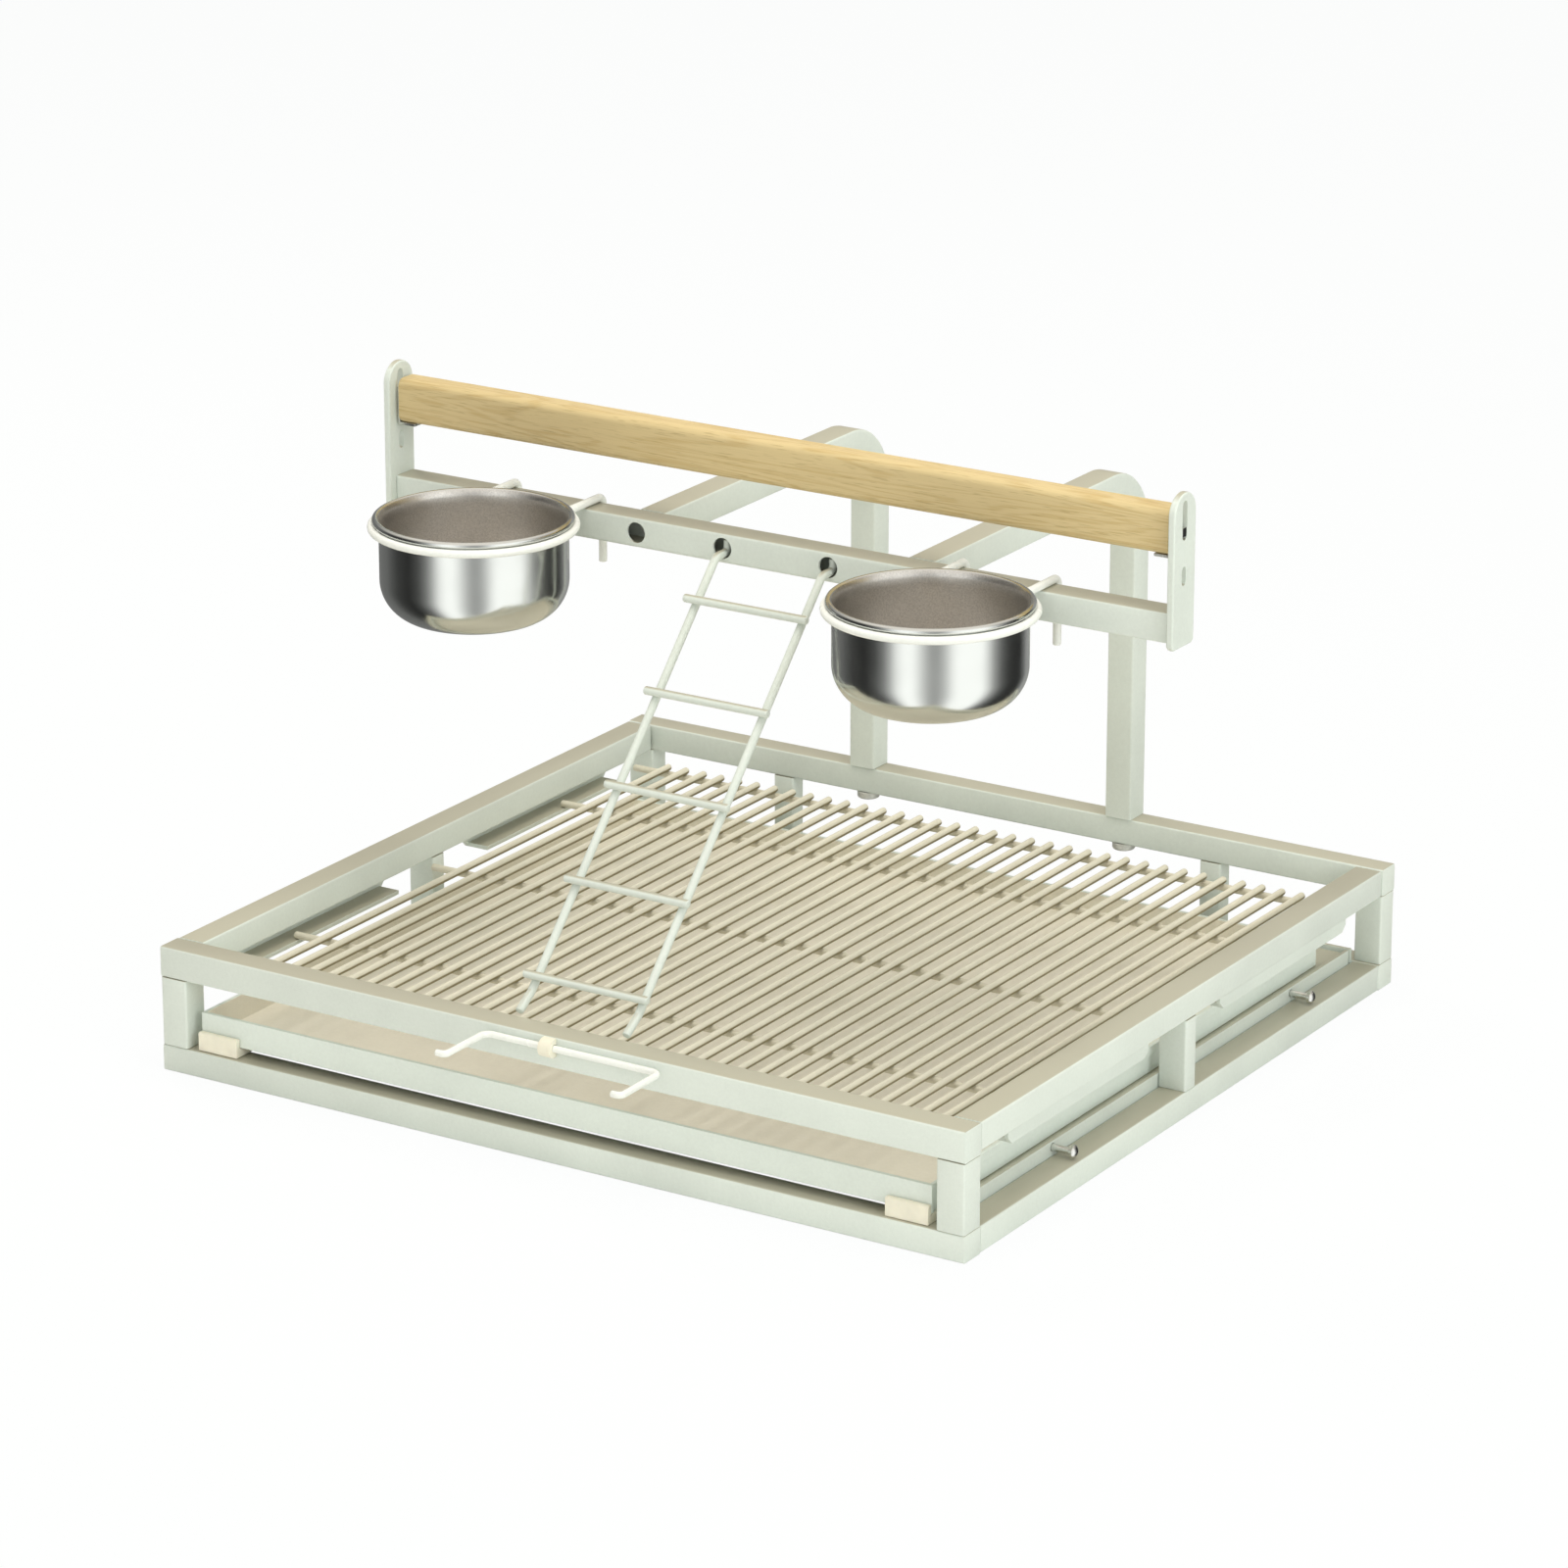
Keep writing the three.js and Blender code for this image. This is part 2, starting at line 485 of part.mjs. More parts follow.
// ---- uprights with their bolts, cross bar, end plates ----
function buildCrossFrame() {
  const innerBend = UPRIGHT_BEND - UPRIGHT_SIZE;
  const bendCentre = [BACK_Y - UPRIGHT_BEND, BAR_TOP - UPRIGHT_BEND];
  const foot = BASE_HEIGHT + SEAT_GAP;
  const armFront = BAR_BACK_Y + SEAT_GAP;
  const outline = [
    [BACK_Y - UPRIGHT_SIZE, foot],
    [BACK_Y, foot],
    ...arc(bendCentre, UPRIGHT_BEND, 0, 90, BEND_SEGMENTS),
    [armFront, BAR_TOP],
    [armFront, BAR_TOP - UPRIGHT_SIZE],
    ...arc(bendCentre, innerBend, 90, 0, BEND_SEGMENTS),
  ];
  const railFloor = BASE_HEIGHT - TOP_RAIL_HEIGHT;
  const backWallFace = BAR_BACK_Y - BAR_WALL - SEAT_GAP;

  for (const { name, sign } of SIDES) {
    const x = CROSS_X + sign * UPRIGHT_X;
    const boltY = BACK_Y - UPRIGHT_SIZE / 2;
    const tube = extrudeAlongX(outline, x - UPRIGHT_SIZE / 2, x + UPRIGHT_SIZE / 2, TUBE_EDGE);
    const baseBoltTop = railFloor - SEAT_GAP + BASE_BOLT.length - BASE_BOLT.headLength;
    const barBoltEnd = backWallFace + BAR_BOLT.length - BAR_BOLT.headLength;
    add(`upright_${name}`, cut(tube, [
      pin(BASE_BOLT.shank + BASE_BOLT.clearance,
        [x, boltY, foot - 1], [x, boltY, baseBoltTop + SEAT_GAP]),
      pin(BAR_BOLT.shank + BAR_BOLT.clearance,
        [x, armFront - 1, BAR_MID_Z], [x, barBoltEnd + SEAT_GAP, BAR_MID_Z]),
    ]), enamel);

    add(`upright_bolt_${name}`, turned([
      [0, -BASE_BOLT.headLength],
      [BASE_BOLT.head - 1, -BASE_BOLT.headLength],
      [BASE_BOLT.head, 1 - BASE_BOLT.headLength],
      [BASE_BOLT.head, 0],
      [BASE_BOLT.shank, 0],
      [BASE_BOLT.shank, BASE_BOLT.length - BASE_BOLT.headLength],
      [0, BASE_BOLT.length - BASE_BOLT.headLength],
    ]).translate(x, boltY, railFloor - SEAT_GAP), boltSteel);

    add(`bar_bolt_${name}`, turned([
      [0, -BAR_BOLT.headLength],
      [BAR_BOLT.head - 1, -BAR_BOLT.headLength],
      [BAR_BOLT.head, 1 - BAR_BOLT.headLength],
      [BAR_BOLT.head, 0],
      [BAR_BOLT.shank, 0],
      [BAR_BOLT.shank, BAR_BOLT.length - BAR_BOLT.headLength],
      [0, BAR_BOLT.length - BAR_BOLT.headLength],
    ]).rotateX(-Math.PI / 2).translate(x, backWallFace, BAR_MID_Z), boltSteel);
  }

  const barLow = [CROSS_X - BAR_HALF, BAR_FRONT_Y, BAR_TOP - BAR_SIZE];
  const barHigh = [CROSS_X + BAR_HALF, BAR_BACK_Y, BAR_TOP];
  const bore = boxBetween(
    [barLow[0] - 1, barLow[1] + BAR_WALL, barLow[2] + BAR_WALL],
    [barHigh[0] + 1, barHigh[1] - BAR_WALL, barHigh[2] - BAR_WALL]);
  const boltHoles = SIDES.map(({ sign }) => {
    const x = CROSS_X + sign * UPRIGHT_X;
    return pin(BAR_BOLT.shank + BAR_BOLT.clearance,
      [x, BAR_BACK_Y - BAR_WALL - 1, BAR_MID_Z], [x, BAR_BACK_Y + 1, BAR_MID_Z]);
  });
  const frontHoleX = [
    ...SIDES.map(({ sign }) => CROSS_X + sign * UPRIGHT_X),
    ...SIDES.map(({ sign }) => LADDER_X + sign * LADDER_HOLE_X),
  ];
  const frontHoles = frontHoleX.map((x) => pin(FRONT_HOLE_RADIUS,
    [x, BAR_FRONT_Y - 1, BAR_MID_Z], [x, BAR_FRONT_Y + BAR_WALL + 1, BAR_MID_Z]));
  add('cross_bar', cut(tubeBetween(barLow, barHigh, 'x'),
    [bore, ...boltHoles, ...frontHoles]), enamel);

  for (const { name, sign } of SIDES) {
    add(`end_plate_${name}`, endPlate(sign), enamel);
  }
}

// A plate across the bar's end, round on top, with two upright slots.
function endPlate(sign) {
  const half = PLATE_WIDTH / 2;
  const midY = PLATE_FRONT_Y + half;
  const outline = [
    [midY - half, PLATE_BOTTOM + PLATE_CORNER],
    [midY - half + PLATE_CORNER, PLATE_BOTTOM],
    [midY + half - PLATE_CORNER, PLATE_BOTTOM],
    [midY + half, PLATE_BOTTOM + PLATE_CORNER],
    ...arc([midY, PLATE_TOP - half], half, 0, 180, 2 * BEND_SEGMENTS),
  ];
  const inner = BAR_HALF + SEAT_GAP;
  const [low, high] = sideSpan(sign, inner, inner + PLATE_THICKNESS);
  const slots = [LONG_SLOT, SHORT_SLOT].map(({ belowTop, length, width }) => {
    const r = width / 2;
    const top = PLATE_TOP - belowTop;
    const slotOutline = [
      ...arc([SLOT_Y, top - r], r, 0, 180, BEND_STEPS),
      ...arc([SLOT_Y, top - length + r], r, 180, 360, BEND_STEPS),
    ];
    return extrudeAlongX(slotOutline, low - 1, high + 1).translate(CROSS_X, 0, 0);
  });
  return cut(extrudeAlongX(outline, low, high, PLATE_EDGE).translate(CROSS_X, 0, 0), slots);
}

// ---- perch: an oak bar with an angle bracket and tongue at each end ----
function buildPerch() {
  const half = PERCH_THICKNESS / 2;
  const midY = BAR_FRONT_Y + half;
  const bracketOuter = BAR_HALF;
  const woodHalf = bracketOuter - BRACKET_PLATE - 2 * SEAT_GAP;
  const inset = half - PERCH_CORNER;
  const top = PERCH_BOTTOM + PERCH_HEIGHT;
  const steps = PERCH_CORNER_STEPS;
  const outline = [
    ...arc([midY + inset, top - PERCH_CORNER], PERCH_CORNER, 0, 90, steps),
    ...arc([midY - inset, top - PERCH_CORNER], PERCH_CORNER, 90, 180, steps),
    ...arc([midY - inset, PERCH_BOTTOM + PERCH_CORNER], PERCH_CORNER, 180, 270, steps),
    ...arc([midY + inset, PERCH_BOTTOM + PERCH_CORNER], PERCH_CORNER, 270, 360, steps),
  ];
  add('perch', extrudeAlongX(outline, CROSS_X - woodHalf, CROSS_X + woodHalf), oak);

  const legTop = PERCH_BOTTOM - SEAT_GAP;
  const legBottom = legTop - BRACKET_PLATE;
  const tongueBottom = SLOT_FOOT + TONGUE_LIFT;
  const tongueReach = BAR_HALF + SEAT_GAP + PLATE_THICKNESS - TONGUE_SHORT;
  for (const { name, sign } of SIDES) {
    const [plateLow, plateHigh] = sideSpan(sign, bracketOuter - BRACKET_PLATE, bracketOuter);
    const [legLow, legHigh] = sideSpan(sign, bracketOuter - BRACKET_LEG, bracketOuter);
    const [tongueLow, tongueHigh] = sideSpan(sign, bracketOuter - BRACKET_PLATE / 2, tongueReach);
    const width = BRACKET_WIDTH / 2;
    add(`perch_bracket_${name}`, join([
      boxBetween([plateLow, midY - width, legBottom],
        [plateHigh, midY + width, legBottom + BRACKET_HEIGHT]),
      boxBetween([legLow, midY - width, legBottom], [legHigh, midY + width, legTop]),
      boxBetween([tongueLow, SLOT_Y - TONGUE_WIDTH / 2, tongueBottom],
        [tongueHigh, SLOT_Y + TONGUE_WIDTH / 2, tongueBottom + TONGUE_HEIGHT]),
    ]).translate(CROSS_X, 0, 0), darkSteel);
  }
}

// ---- cups in wire rings that hook over the bar ----
function buildCup(name, x) {
  const ring = new THREE.TorusGeometry(RING_RADIUS, RING_WIRE, WIRE_SIDES, RING_SEGMENTS)
    .translate(x, RING_Y, RING_Z);
  const legY = BAR_BACK_Y + SEAT_GAP + RING_WIRE;
  const rootY = RING_Y + Math.sqrt(RING_RADIUS ** 2 - HOOK_X ** 2) - RING_WIRE / 2;
  const hooks = SIDES.map(({ sign }) => {
    const hookX = x + sign * HOOK_X;
    return bentWire(
      [[hookX, rootY, RING_Z], [hookX, legY, RING_Z], [hookX, legY, HOOK_END_Z]],
      [HOOK_BEND], RING_WIRE);
  });
  add(`cup_holder_${name}`, join([ring, ...hooks]), wireEnamel);

  const inner = CUP_RADIUS - CUP_WALL;
  const floor = CUP_BOTTOM + CUP_WALL;
  const cornerR = CUP_RADIUS - CUP_CORNER;
  const cornerZ = CUP_BOTTOM + CUP_CORNER;
  add(`cup_${name}`, turned([
    [0, CUP_BOTTOM],
    ...arc([cornerR, cornerZ], CUP_CORNER, 270, 360, CUP_CORNER_STEPS),
    ...arc([CUP_BEAD_RADIUS, CUP_BEAD_Z], CUP_BEAD, 215, -10, BEND_STEPS + 2).slice(0, 1),
    ...arc([CUP_BEAD_RADIUS, CUP_BEAD_Z], CUP_BEAD, 260, 500, BEND_STEPS + 2),
    [inner, CUP_BEAD_Z - CUP_BEAD],
    ...arc([cornerR, cornerZ], CUP_CORNER - CUP_WALL, 360, 270, CUP_CORNER_STEPS),
    [0, floor],
  ], CUP_SEGMENTS).translate(x, RING_Y, 0), polishedSteel);
}

// ---- ladder: two hooked stiles with round rungs across their front ----
function buildLadder() {
  const run = Math.hypot(1, STILE_SLOPE);
  const outward = { y: -STILE_SLOPE / run, z: 1 / run };
  // The hooks lie on the lower edges of the bar's front holes.
  const hookZ = BAR_MID_Z - FRONT_HOLE_RADIUS + SEAT_GAP + LADDER_WIRE;
  const bendY = FIRST_RUNG.y + (hookZ - FIRST_RUNG.z) / STILE_SLOPE;
  for (const { name, sign } of SIDES) {
    const x = LADDER_X + sign * LADDER_HOLE_X;
    add(`ladder_stile_${name}`, bentWire([
      [x, HOOK_TIP.y, HOOK_TIP.z],
      [x, HOOK_TIP.y, hookZ],
      [x, bendY, hookZ],
      [x, STILE_KNEE.y, STILE_KNEE.z],
      [x, STILE_FOOT.y, STILE_FOOT.z],
    ], [HOOK_TIP_BEND, STILE_BEND, STILE_BEND], LADDER_WIRE), enamel);
  }
  const lift = 2 * LADDER_WIRE + SEAT_GAP;
  const reach = LADDER_HOLE_X + RUNG_OVERHANG;
  for (let i = 0; i < RUNG_COUNT; i += 1) {
    const y = FIRST_RUNG.y - i * RUNG_STEP_Y + lift * outward.y;
    const z = FIRST_RUNG.z - i * RUNG_STEP_Y * STILE_SLOPE + lift * outward.z;
    add(`ladder_rung_${i + 1}`,
      pin(LADDER_WIRE, [LADDER_X - reach, y, z], [LADDER_X + reach, y, z]), enamel);
  }
}

// ---- grate: long wires welded on cross wires, and the ledges it rests on ----
function buildGrate() {
  const crossZ = LEDGE_SHELF_TOP + SEAT_GAP + GRATE_WIRE;
  const longZ = crossZ + 2 * GRATE_WIRE - WELD_DEPTH;
  const corner = GRATE_WIRE / Math.cos(Math.PI / GRATE_SIDES);
  const firstX = (-(LONG_WIRE_COUNT - 1) * LONG_WIRE_PITCH) / 2;
  const middleY = (GRATE_FRONT_Y + GRATE_BACK_Y) / 2;
  // Both kinds of wire keep a flat side up, so that they cross face to face.
  const wireAlongY = (length) =>
    new THREE.CylinderGeometry(corner, corner, length, GRATE_SIDES).rotateY(Math.PI / 2);
  const longWire = (x) =>
    wireAlongY(GRATE_BACK_Y - GRATE_FRONT_Y).translate(x, middleY, longZ);
  const crossWire = (y) =>
    wireAlongY(2 * CROSS_WIRE_HALF).rotateZ(Math.PI / 2).translate(0, y, crossZ);
  const wires = Array.from({ length: LONG_WIRE_COUNT },
    (_, i) => longWire(firstX + i * LONG_WIRE_PITCH));
  const crossY = [
    GRATE_FRONT_Y + END_WIRE_INSET,
    middleY - CROSS_WIRE_PITCH,
    middleY,
    middleY + CROSS_WIRE_PITCH,
    GRATE_BACK_Y - END_WIRE_INSET,
  ];
  add('grate', join([...crossY.map(crossWire), ...wires]), grateEnamel);

  const flangeTop = BASE_HEIGHT - TOP_RAIL_HEIGHT - SEAT_GAP;
  const shelfBottom = LEDGE_SHELF_TOP - LEDGE_THICKNESS;
  for (const { name, sign } of SIDES) {
    for (const [place, from, to] of [
      ['front', -LEDGE_END_Y, -LEDGE_START_Y],
      ['back', LEDGE_START_Y, LEDGE_END_Y],
    ]) {
      const [shelfLow, shelfHigh] = sideSpan(sign, LEDGE_INNER_X, LEDGE_OUTER_X);
      const [wallLow, wallHigh] = sideSpan(sign, LEDGE_OUTER_X - LEDGE_THICKNESS, LEDGE_OUTER_X);
      const wallOutline = [
        [from, flangeTop],
        [from, shelfBottom + LEDGE_CORNER],
        [from + LEDGE_CORNER, shelfBottom],
        [to - LEDGE_CORNER, shelfBottom],
        [to, shelfBottom + LEDGE_CORNER],
        [to, flangeTop],
      ];
      add(`grate_ledge_${place}_${name}`, join([
        extrudeAlongX(wallOutline, wallLow, wallHigh),
        boxBetween([shelfLow, from + LEDGE_CORNER, shelfBottom],
          [shelfHigh, to - LEDGE_CORNER, LEDGE_SHELF_TOP]),
      ]), enamel);
    }
  }
}

// ---- slide-out tray, the glides under its front corners, its runners and stop ----
function buildTray() {
  const side = TRAY_HALF_WIDTH - TRAY_HEM;
  const back = TRAY_BACK_Y - TRAY_HEM;
  const body = boxBetween([-side, TRAY_FRONT_Y, TRAY_BOTTOM], [side, back, TRAY_TOP]);
  const hem = boxBetween(
    [-TRAY_HALF_WIDTH, TRAY_FRONT_Y, TRAY_TOP - TRAY_HEM_HEIGHT],
    [TRAY_HALF_WIDTH, TRAY_BACK_Y, TRAY_TOP]);
  const face = boxBetween(
    [-TRAY_HALF_WIDTH, TRAY_FRONT_Y, TRAY_BOTTOM],
    [TRAY_HALF_WIDTH, TRAY_FRONT_Y + TRAY_FRONT_WALL, TRAY_TOP]);
  const inside = boxBetween(
    [-side + TRAY_WALL, TRAY_FRONT_Y + TRAY_FRONT_WALL, TRAY_BOTTOM + TRAY_FLOOR],
    [side - TRAY_WALL, back - TRAY_WALL, TRAY_TOP + 1]);
  add('tray', cut(join([body, hem, face]), [inside]), trayEnamel);

  const railTop = BOTTOM_RAIL_HEIGHT + SEAT_GAP;
  const glideOutline = [
    [GLIDE_FRONT_Y, railTop],
    [GLIDE_BACK_Y, railTop],
    [GLIDE_BACK_Y, TRAY_BOTTOM - SEAT_GAP],
    [TRAY_FRONT_Y - SEAT_GAP, TRAY_BOTTOM - SEAT_GAP],
    [TRAY_FRONT_Y - SEAT_GAP, GLIDE_TOP],
    [GLIDE_FRONT_Y + 1, GLIDE_TOP],
    [GLIDE_FRONT_Y, GLIDE_TOP - 1],
  ];
  const wallOuter = RAIL_INNER_X - SEAT_GAP;
  const runnerInner = wallOuter - RUNNER_WALL;
  const shelfTop = TRAY_BOTTOM - SEAT_GAP;
  for (const { name, sign } of SIDES) {
    const [glideLow, glideHigh] = sideSpan(sign, TRAY_HALF_WIDTH - GLIDE_WIDTH, TRAY_HALF_WIDTH);
    add(`tray_glide_${name}`, extrudeAlongX(glideOutline, glideLow, glideHigh), creamPlastic);

    const [wallLow, wallHigh] = sideSpan(sign, runnerInner, wallOuter);
    const [shelfLow, shelfHigh] = sideSpan(sign, RUNNER_SHELF_INNER_X, runnerInner + 1);
    const bores = RUNNER_BOLT_Y.map((y) => pin(
      RUNNER_BOLT.shank + RUNNER_BOLT.clearance,
      [sign * (runnerInner + SEAT_GAP), y, RUNNER_BOLT_Z],
      [sign * (wallOuter + 1), y, RUNNER_BOLT_Z]));
    add(`tray_runner_${name}`, cut(join([
      boxBetween([wallLow, RUNNER_FRONT_Y, RUNNER_BOTTOM], [wallHigh, RUNNER_BACK_Y, RUNNER_TOP]),
      boxBetween([shelfLow, RUNNER_FRONT_Y, shelfTop - RUNNER_SHELF],
        [shelfHigh, RUNNER_BACK_Y, shelfTop]),
    ]), bores), enamel);

    RUNNER_BOLT_Y.forEach((y, i) => {
      const dome = RUNNER_BOLT.headLength / 2;
      const bolt = turned([
        [0, 0],
        [RUNNER_BOLT.shank, 0],
        [RUNNER_BOLT.shank, RUNNER_BOLT.reach],
        [RUNNER_BOLT.head, RUNNER_BOLT.reach],
        [RUNNER_BOLT.head, RUNNER_BOLT.reach + dome],
        [RUNNER_BOLT.head * 0.7, RUNNER_BOLT.reach + RUNNER_BOLT.headLength - 1],
        [0, RUNNER_BOLT.reach + RUNNER_BOLT.headLength],
      ]).rotateY((sign * Math.PI) / 2);
      const place = i === 0 ? 'front' : 'back';
      add(`runner_bolt_${place}_${name}`, bolt.translate(
        sign * (runnerInner + 2 * SEAT_GAP), y, RUNNER_BOLT_Z), boltSteel);
    });
  }
  const stopBack = BACK_Y - RAIL_WIDTH - SEAT_GAP;
  add('tray_stop', boxBetween(
    [-wallOuter, stopBack - STOP_THICKNESS, RUNNER_BOTTOM],
    [wallOuter, stopBack, RUNNER_TOP]), enamel);
}

// ---- wire bail across the front rail and the clip that holds it ----
function buildBail() {
  add('front_bail', bentWire([
    [BAIL_LEFT_X - BAIL_TIP_TURN, BAIL_TIP_Y, BAIL_Z],
    [BAIL_LEFT_X, BAIL_TIP_Y, BAIL_Z],
    [BAIL_LEFT_X, BAIL_Y, BAIL_Z],
    [BAIL_RIGHT_X, BAIL_Y, BAIL_Z],
    [BAIL_RIGHT_X, BAIL_TIP_Y, BAIL_Z],
    [BAIL_RIGHT_X - BAIL_TIP_TURN, BAIL_TIP_Y, BAIL_Z],
  ], [BAIL_TIP_BEND, BAIL_BEND, BAIL_BEND, BAIL_TIP_BEND], BAIL_WIRE), wireEnamel);

  const face = FRONT_Y - SEAT_GAP;
  const outline = [
    ...arc([BAIL_Y, BAIL_Z], CLIP_RADIUS, 90, 270, CLIP_STEPS),
    [face, BAIL_Z - CLIP_RADIUS],
    [face, BAIL_Z + CLIP_RADIUS],
  ];
  const clip = extrudeAlongX(outline, CLIP_X - CLIP_WIDTH / 2, CLIP_X + CLIP_WIDTH / 2);
  const bore = pin(BAIL_WIRE + SEAT_GAP,
    [CLIP_X - CLIP_WIDTH, BAIL_Y, BAIL_Z], [CLIP_X + CLIP_WIDTH, BAIL_Y, BAIL_Z]);
  add('bail_clip', cut(clip, [bore]), creamPlastic);
}

buildBase();
buildCrossFrame();
buildPerch();
buildCup('left', LEFT_RING_X);
buildCup('right', RIGHT_RING_X);
buildLadder();
buildGrate();
buildTray();
buildBail();

// The origin is under the middle of everything, bail included.
const bounds = new THREE.Box3().setFromObject(stand);
stand.position.y = -(bounds.min.y + bounds.max.y) / 2;

export default stand;
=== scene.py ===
"""Parrot play stand: the dressed pieces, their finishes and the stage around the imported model.

Lengths are metres in the model's frame: +Z up, the front faces -Y, the floor at z = 0.
"""

import bmesh
import bpy
import numpy as np
from mathutils import Matrix, Vector


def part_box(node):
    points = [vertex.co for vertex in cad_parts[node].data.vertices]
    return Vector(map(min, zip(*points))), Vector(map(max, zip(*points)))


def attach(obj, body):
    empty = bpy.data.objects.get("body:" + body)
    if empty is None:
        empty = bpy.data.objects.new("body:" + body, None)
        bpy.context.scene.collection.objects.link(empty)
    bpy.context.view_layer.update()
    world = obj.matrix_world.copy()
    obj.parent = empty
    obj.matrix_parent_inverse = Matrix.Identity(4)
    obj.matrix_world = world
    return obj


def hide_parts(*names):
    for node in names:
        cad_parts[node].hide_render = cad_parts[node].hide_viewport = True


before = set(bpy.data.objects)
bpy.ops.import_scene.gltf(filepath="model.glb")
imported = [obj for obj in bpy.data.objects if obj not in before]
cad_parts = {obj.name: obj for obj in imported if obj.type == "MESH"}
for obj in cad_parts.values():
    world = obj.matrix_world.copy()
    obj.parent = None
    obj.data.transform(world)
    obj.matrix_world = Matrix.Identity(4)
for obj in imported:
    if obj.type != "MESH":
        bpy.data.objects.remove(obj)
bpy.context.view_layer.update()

bl_info = {
    "name": "Parrot Play Stand",
    "version": (1, 0, 0),
    "blender": (4, 5, 0),
    "location": "View3D > Sidebar > Play Stand",
    "description": "Builds a parrot play stand's tubes, wires, cups, perch and tray",
    "category": "Object",
}

SIDES = (("left", -1.0), ("right", 1.0))
UPRIGHT_BEND = 50  # outer radius in mm
# name, azimuth and elevation in degrees, distance and size in metres, watts, tint
LAMPS = (
    ("softbox_right", 72, 18, 3.8, 2.0, 34.0, "#f2faf8"),
    ("softbox_front", -10, 42, 3.4, 1.6, 7.0, "#f6faf7"),
    ("softbox_left", -112, 40, 2.6, 0.6, 12.0, "#fffaf0"),
    ("softbox_overhead", 60, 82, 2.4, 1.8, 31.0, "#fffbf3"),
)
# softboxes and black flags round the studio: (azimuth from the front in degrees, brightness)
AROUND = (
    (-180, 0.3), (-160, 0.22), (-128, 0.14), (-97, 0.12), (-86, 0.08), (-72, 0.04),
    (-52, 0.02), (-37, 0.06), (-26, 0.16), (-17, 0.4), (-9, 0.8), (0, 1.0),
    (9, 1.0), (16, 0.8), (24, 0.5), (32, 0.32), (40, 0.32), (48, 0.5),
    (56, 0.85), (63, 1.0), (93, 1.0), (101, 0.7), (110, 0.3), (122, 0.09),
    (136, 0.03), (158, 0.02), (172, 0.16), (180, 0.3),
)


def mm(value):
    """Millimetres as metres."""
    return value / 1000.0


def radians(degrees):
    """Degrees as a plain float in radians."""
    return float(np.radians(degrees))


def linear(hex_colour):
    """An sRGB hex colour as linear RGBA."""
    code = hex_colour.lstrip("#")
    srgb = np.array([int(code[i : i + 2], 16) / 255.0 for i in (0, 2, 4)])
    rgb = np.where(srgb <= 0.04045, srgb / 12.92, ((srgb + 0.055) / 1.055) ** 2.4)
    return (*[float(c) for c in rgb], 1.0)


# ---------------------------------------------------------------- settings


def colour_of(name, description, hex_colour):
    """A colour setting with its default from a hex value."""
    return bpy.props.FloatVectorProperty(
        name=name, description=description, default=linear(hex_colour), size=4,
        min=0.0, max=1.0, subtype="COLOR")


def length_of(name, description, millimetres):
    """A length setting with its default in millimetres."""
    return bpy.props.FloatProperty(
        name=name, description=description, default=mm(millimetres), min=0.0,
        precision=5, unit="LENGTH")


class PlayStandSizes(bpy.types.PropertyGroup):
    tube_corner: length_of("Tube corner", "Radius of the steel tube's long edges", 1.5)
    tube_end: length_of("Tube end", "Easing where a tube meets another", 0.18)
    perch_corner: length_of("Perch corner", "Radius of the perch's long edges", 5.0)
    perch_end: length_of("Perch end", "Easing of the perch's sawn ends", 0.8)
    holder_wire: length_of("Holder wire", "Radius of the cup rings' wire", 2.75)
    ladder_wire: length_of("Ladder wire", "Radius of the ladder's wire", 2.8)
    grate_wire: length_of("Grate wire", "Radius of the grate's wire", 2.5)
    bail_wire: length_of("Bail wire", "Radius of the front bail's wire", 2.25)
    hole_radius: length_of("Bar hole", "Radius of the holes in the bar's front", 7.0)
    hole_edge: length_of("Hole edge", "Rounding of the bar's cut edges", 0.3)
    sheet_edge: length_of("Sheet edge", "Rounding of plate and bracket edges", 0.35)
    ledge_edge: length_of("Ledge edge", "Rounding of ledges, runners and stop", 0.4)
    tray_edge: length_of("Tray edge", "Rounding of the tray's folds", 0.5)
    moulded_edge: length_of("Moulded edge", "Rounding of glides and clip", 0.6)


class PlayStandColours(bpy.types.PropertyGroup):
    enamel: colour_of("Enamel", "Powder coat on tubes and ladder", "#dde4de")
    # painted shade: the tube coat made darker and warmer where its faces look up
    painted_top_shade: colour_of("Painted top shade", "The same coat where it looks up", "#b8b5a4")
    grate: colour_of("Grate", "Powder coat on the grate's wires", "#dbd6c5")
    tray: colour_of("Tray", "Powder coat on the tray's front", "#e4ece6")
    # painted light: the tray's single enamel given a paler, warmer copy on the inside faces that
    # the grate and rails shade
    tray_inside_painted_light: colour_of("Tray inside", "The tray's floor and walls", "#f3efe2")
    # painted shade: a dark brown laid on the grate wires' lower sides
    grate_painted_underside_shade: colour_of("Grate underside", "Painted shade along the wires' lower sides", "#857b58")
    wire: colour_of("Wire", "White coat on cup rings and bail", "#f3f5f2")
    steel: colour_of("Steel", "Stainless steel of the cups", "#dcdedb")
    inside: colour_of("Cup inside", "Dull stainless steel inside the cups", "#e6e3de")
    bolt: colour_of("Bolt", "Nickel plate and zinc flakes of the bolts", "#dcdcd8")
    oak_light: colour_of("Oak, early wood", "Pale wood between the rings", "#dbc594")
    oak_dark: colour_of("Oak, late wood", "Darker wood of the rings", "#c3a56b")
    plastic: colour_of("Plastic", "Moulded glides and clip", "#f3eedd")


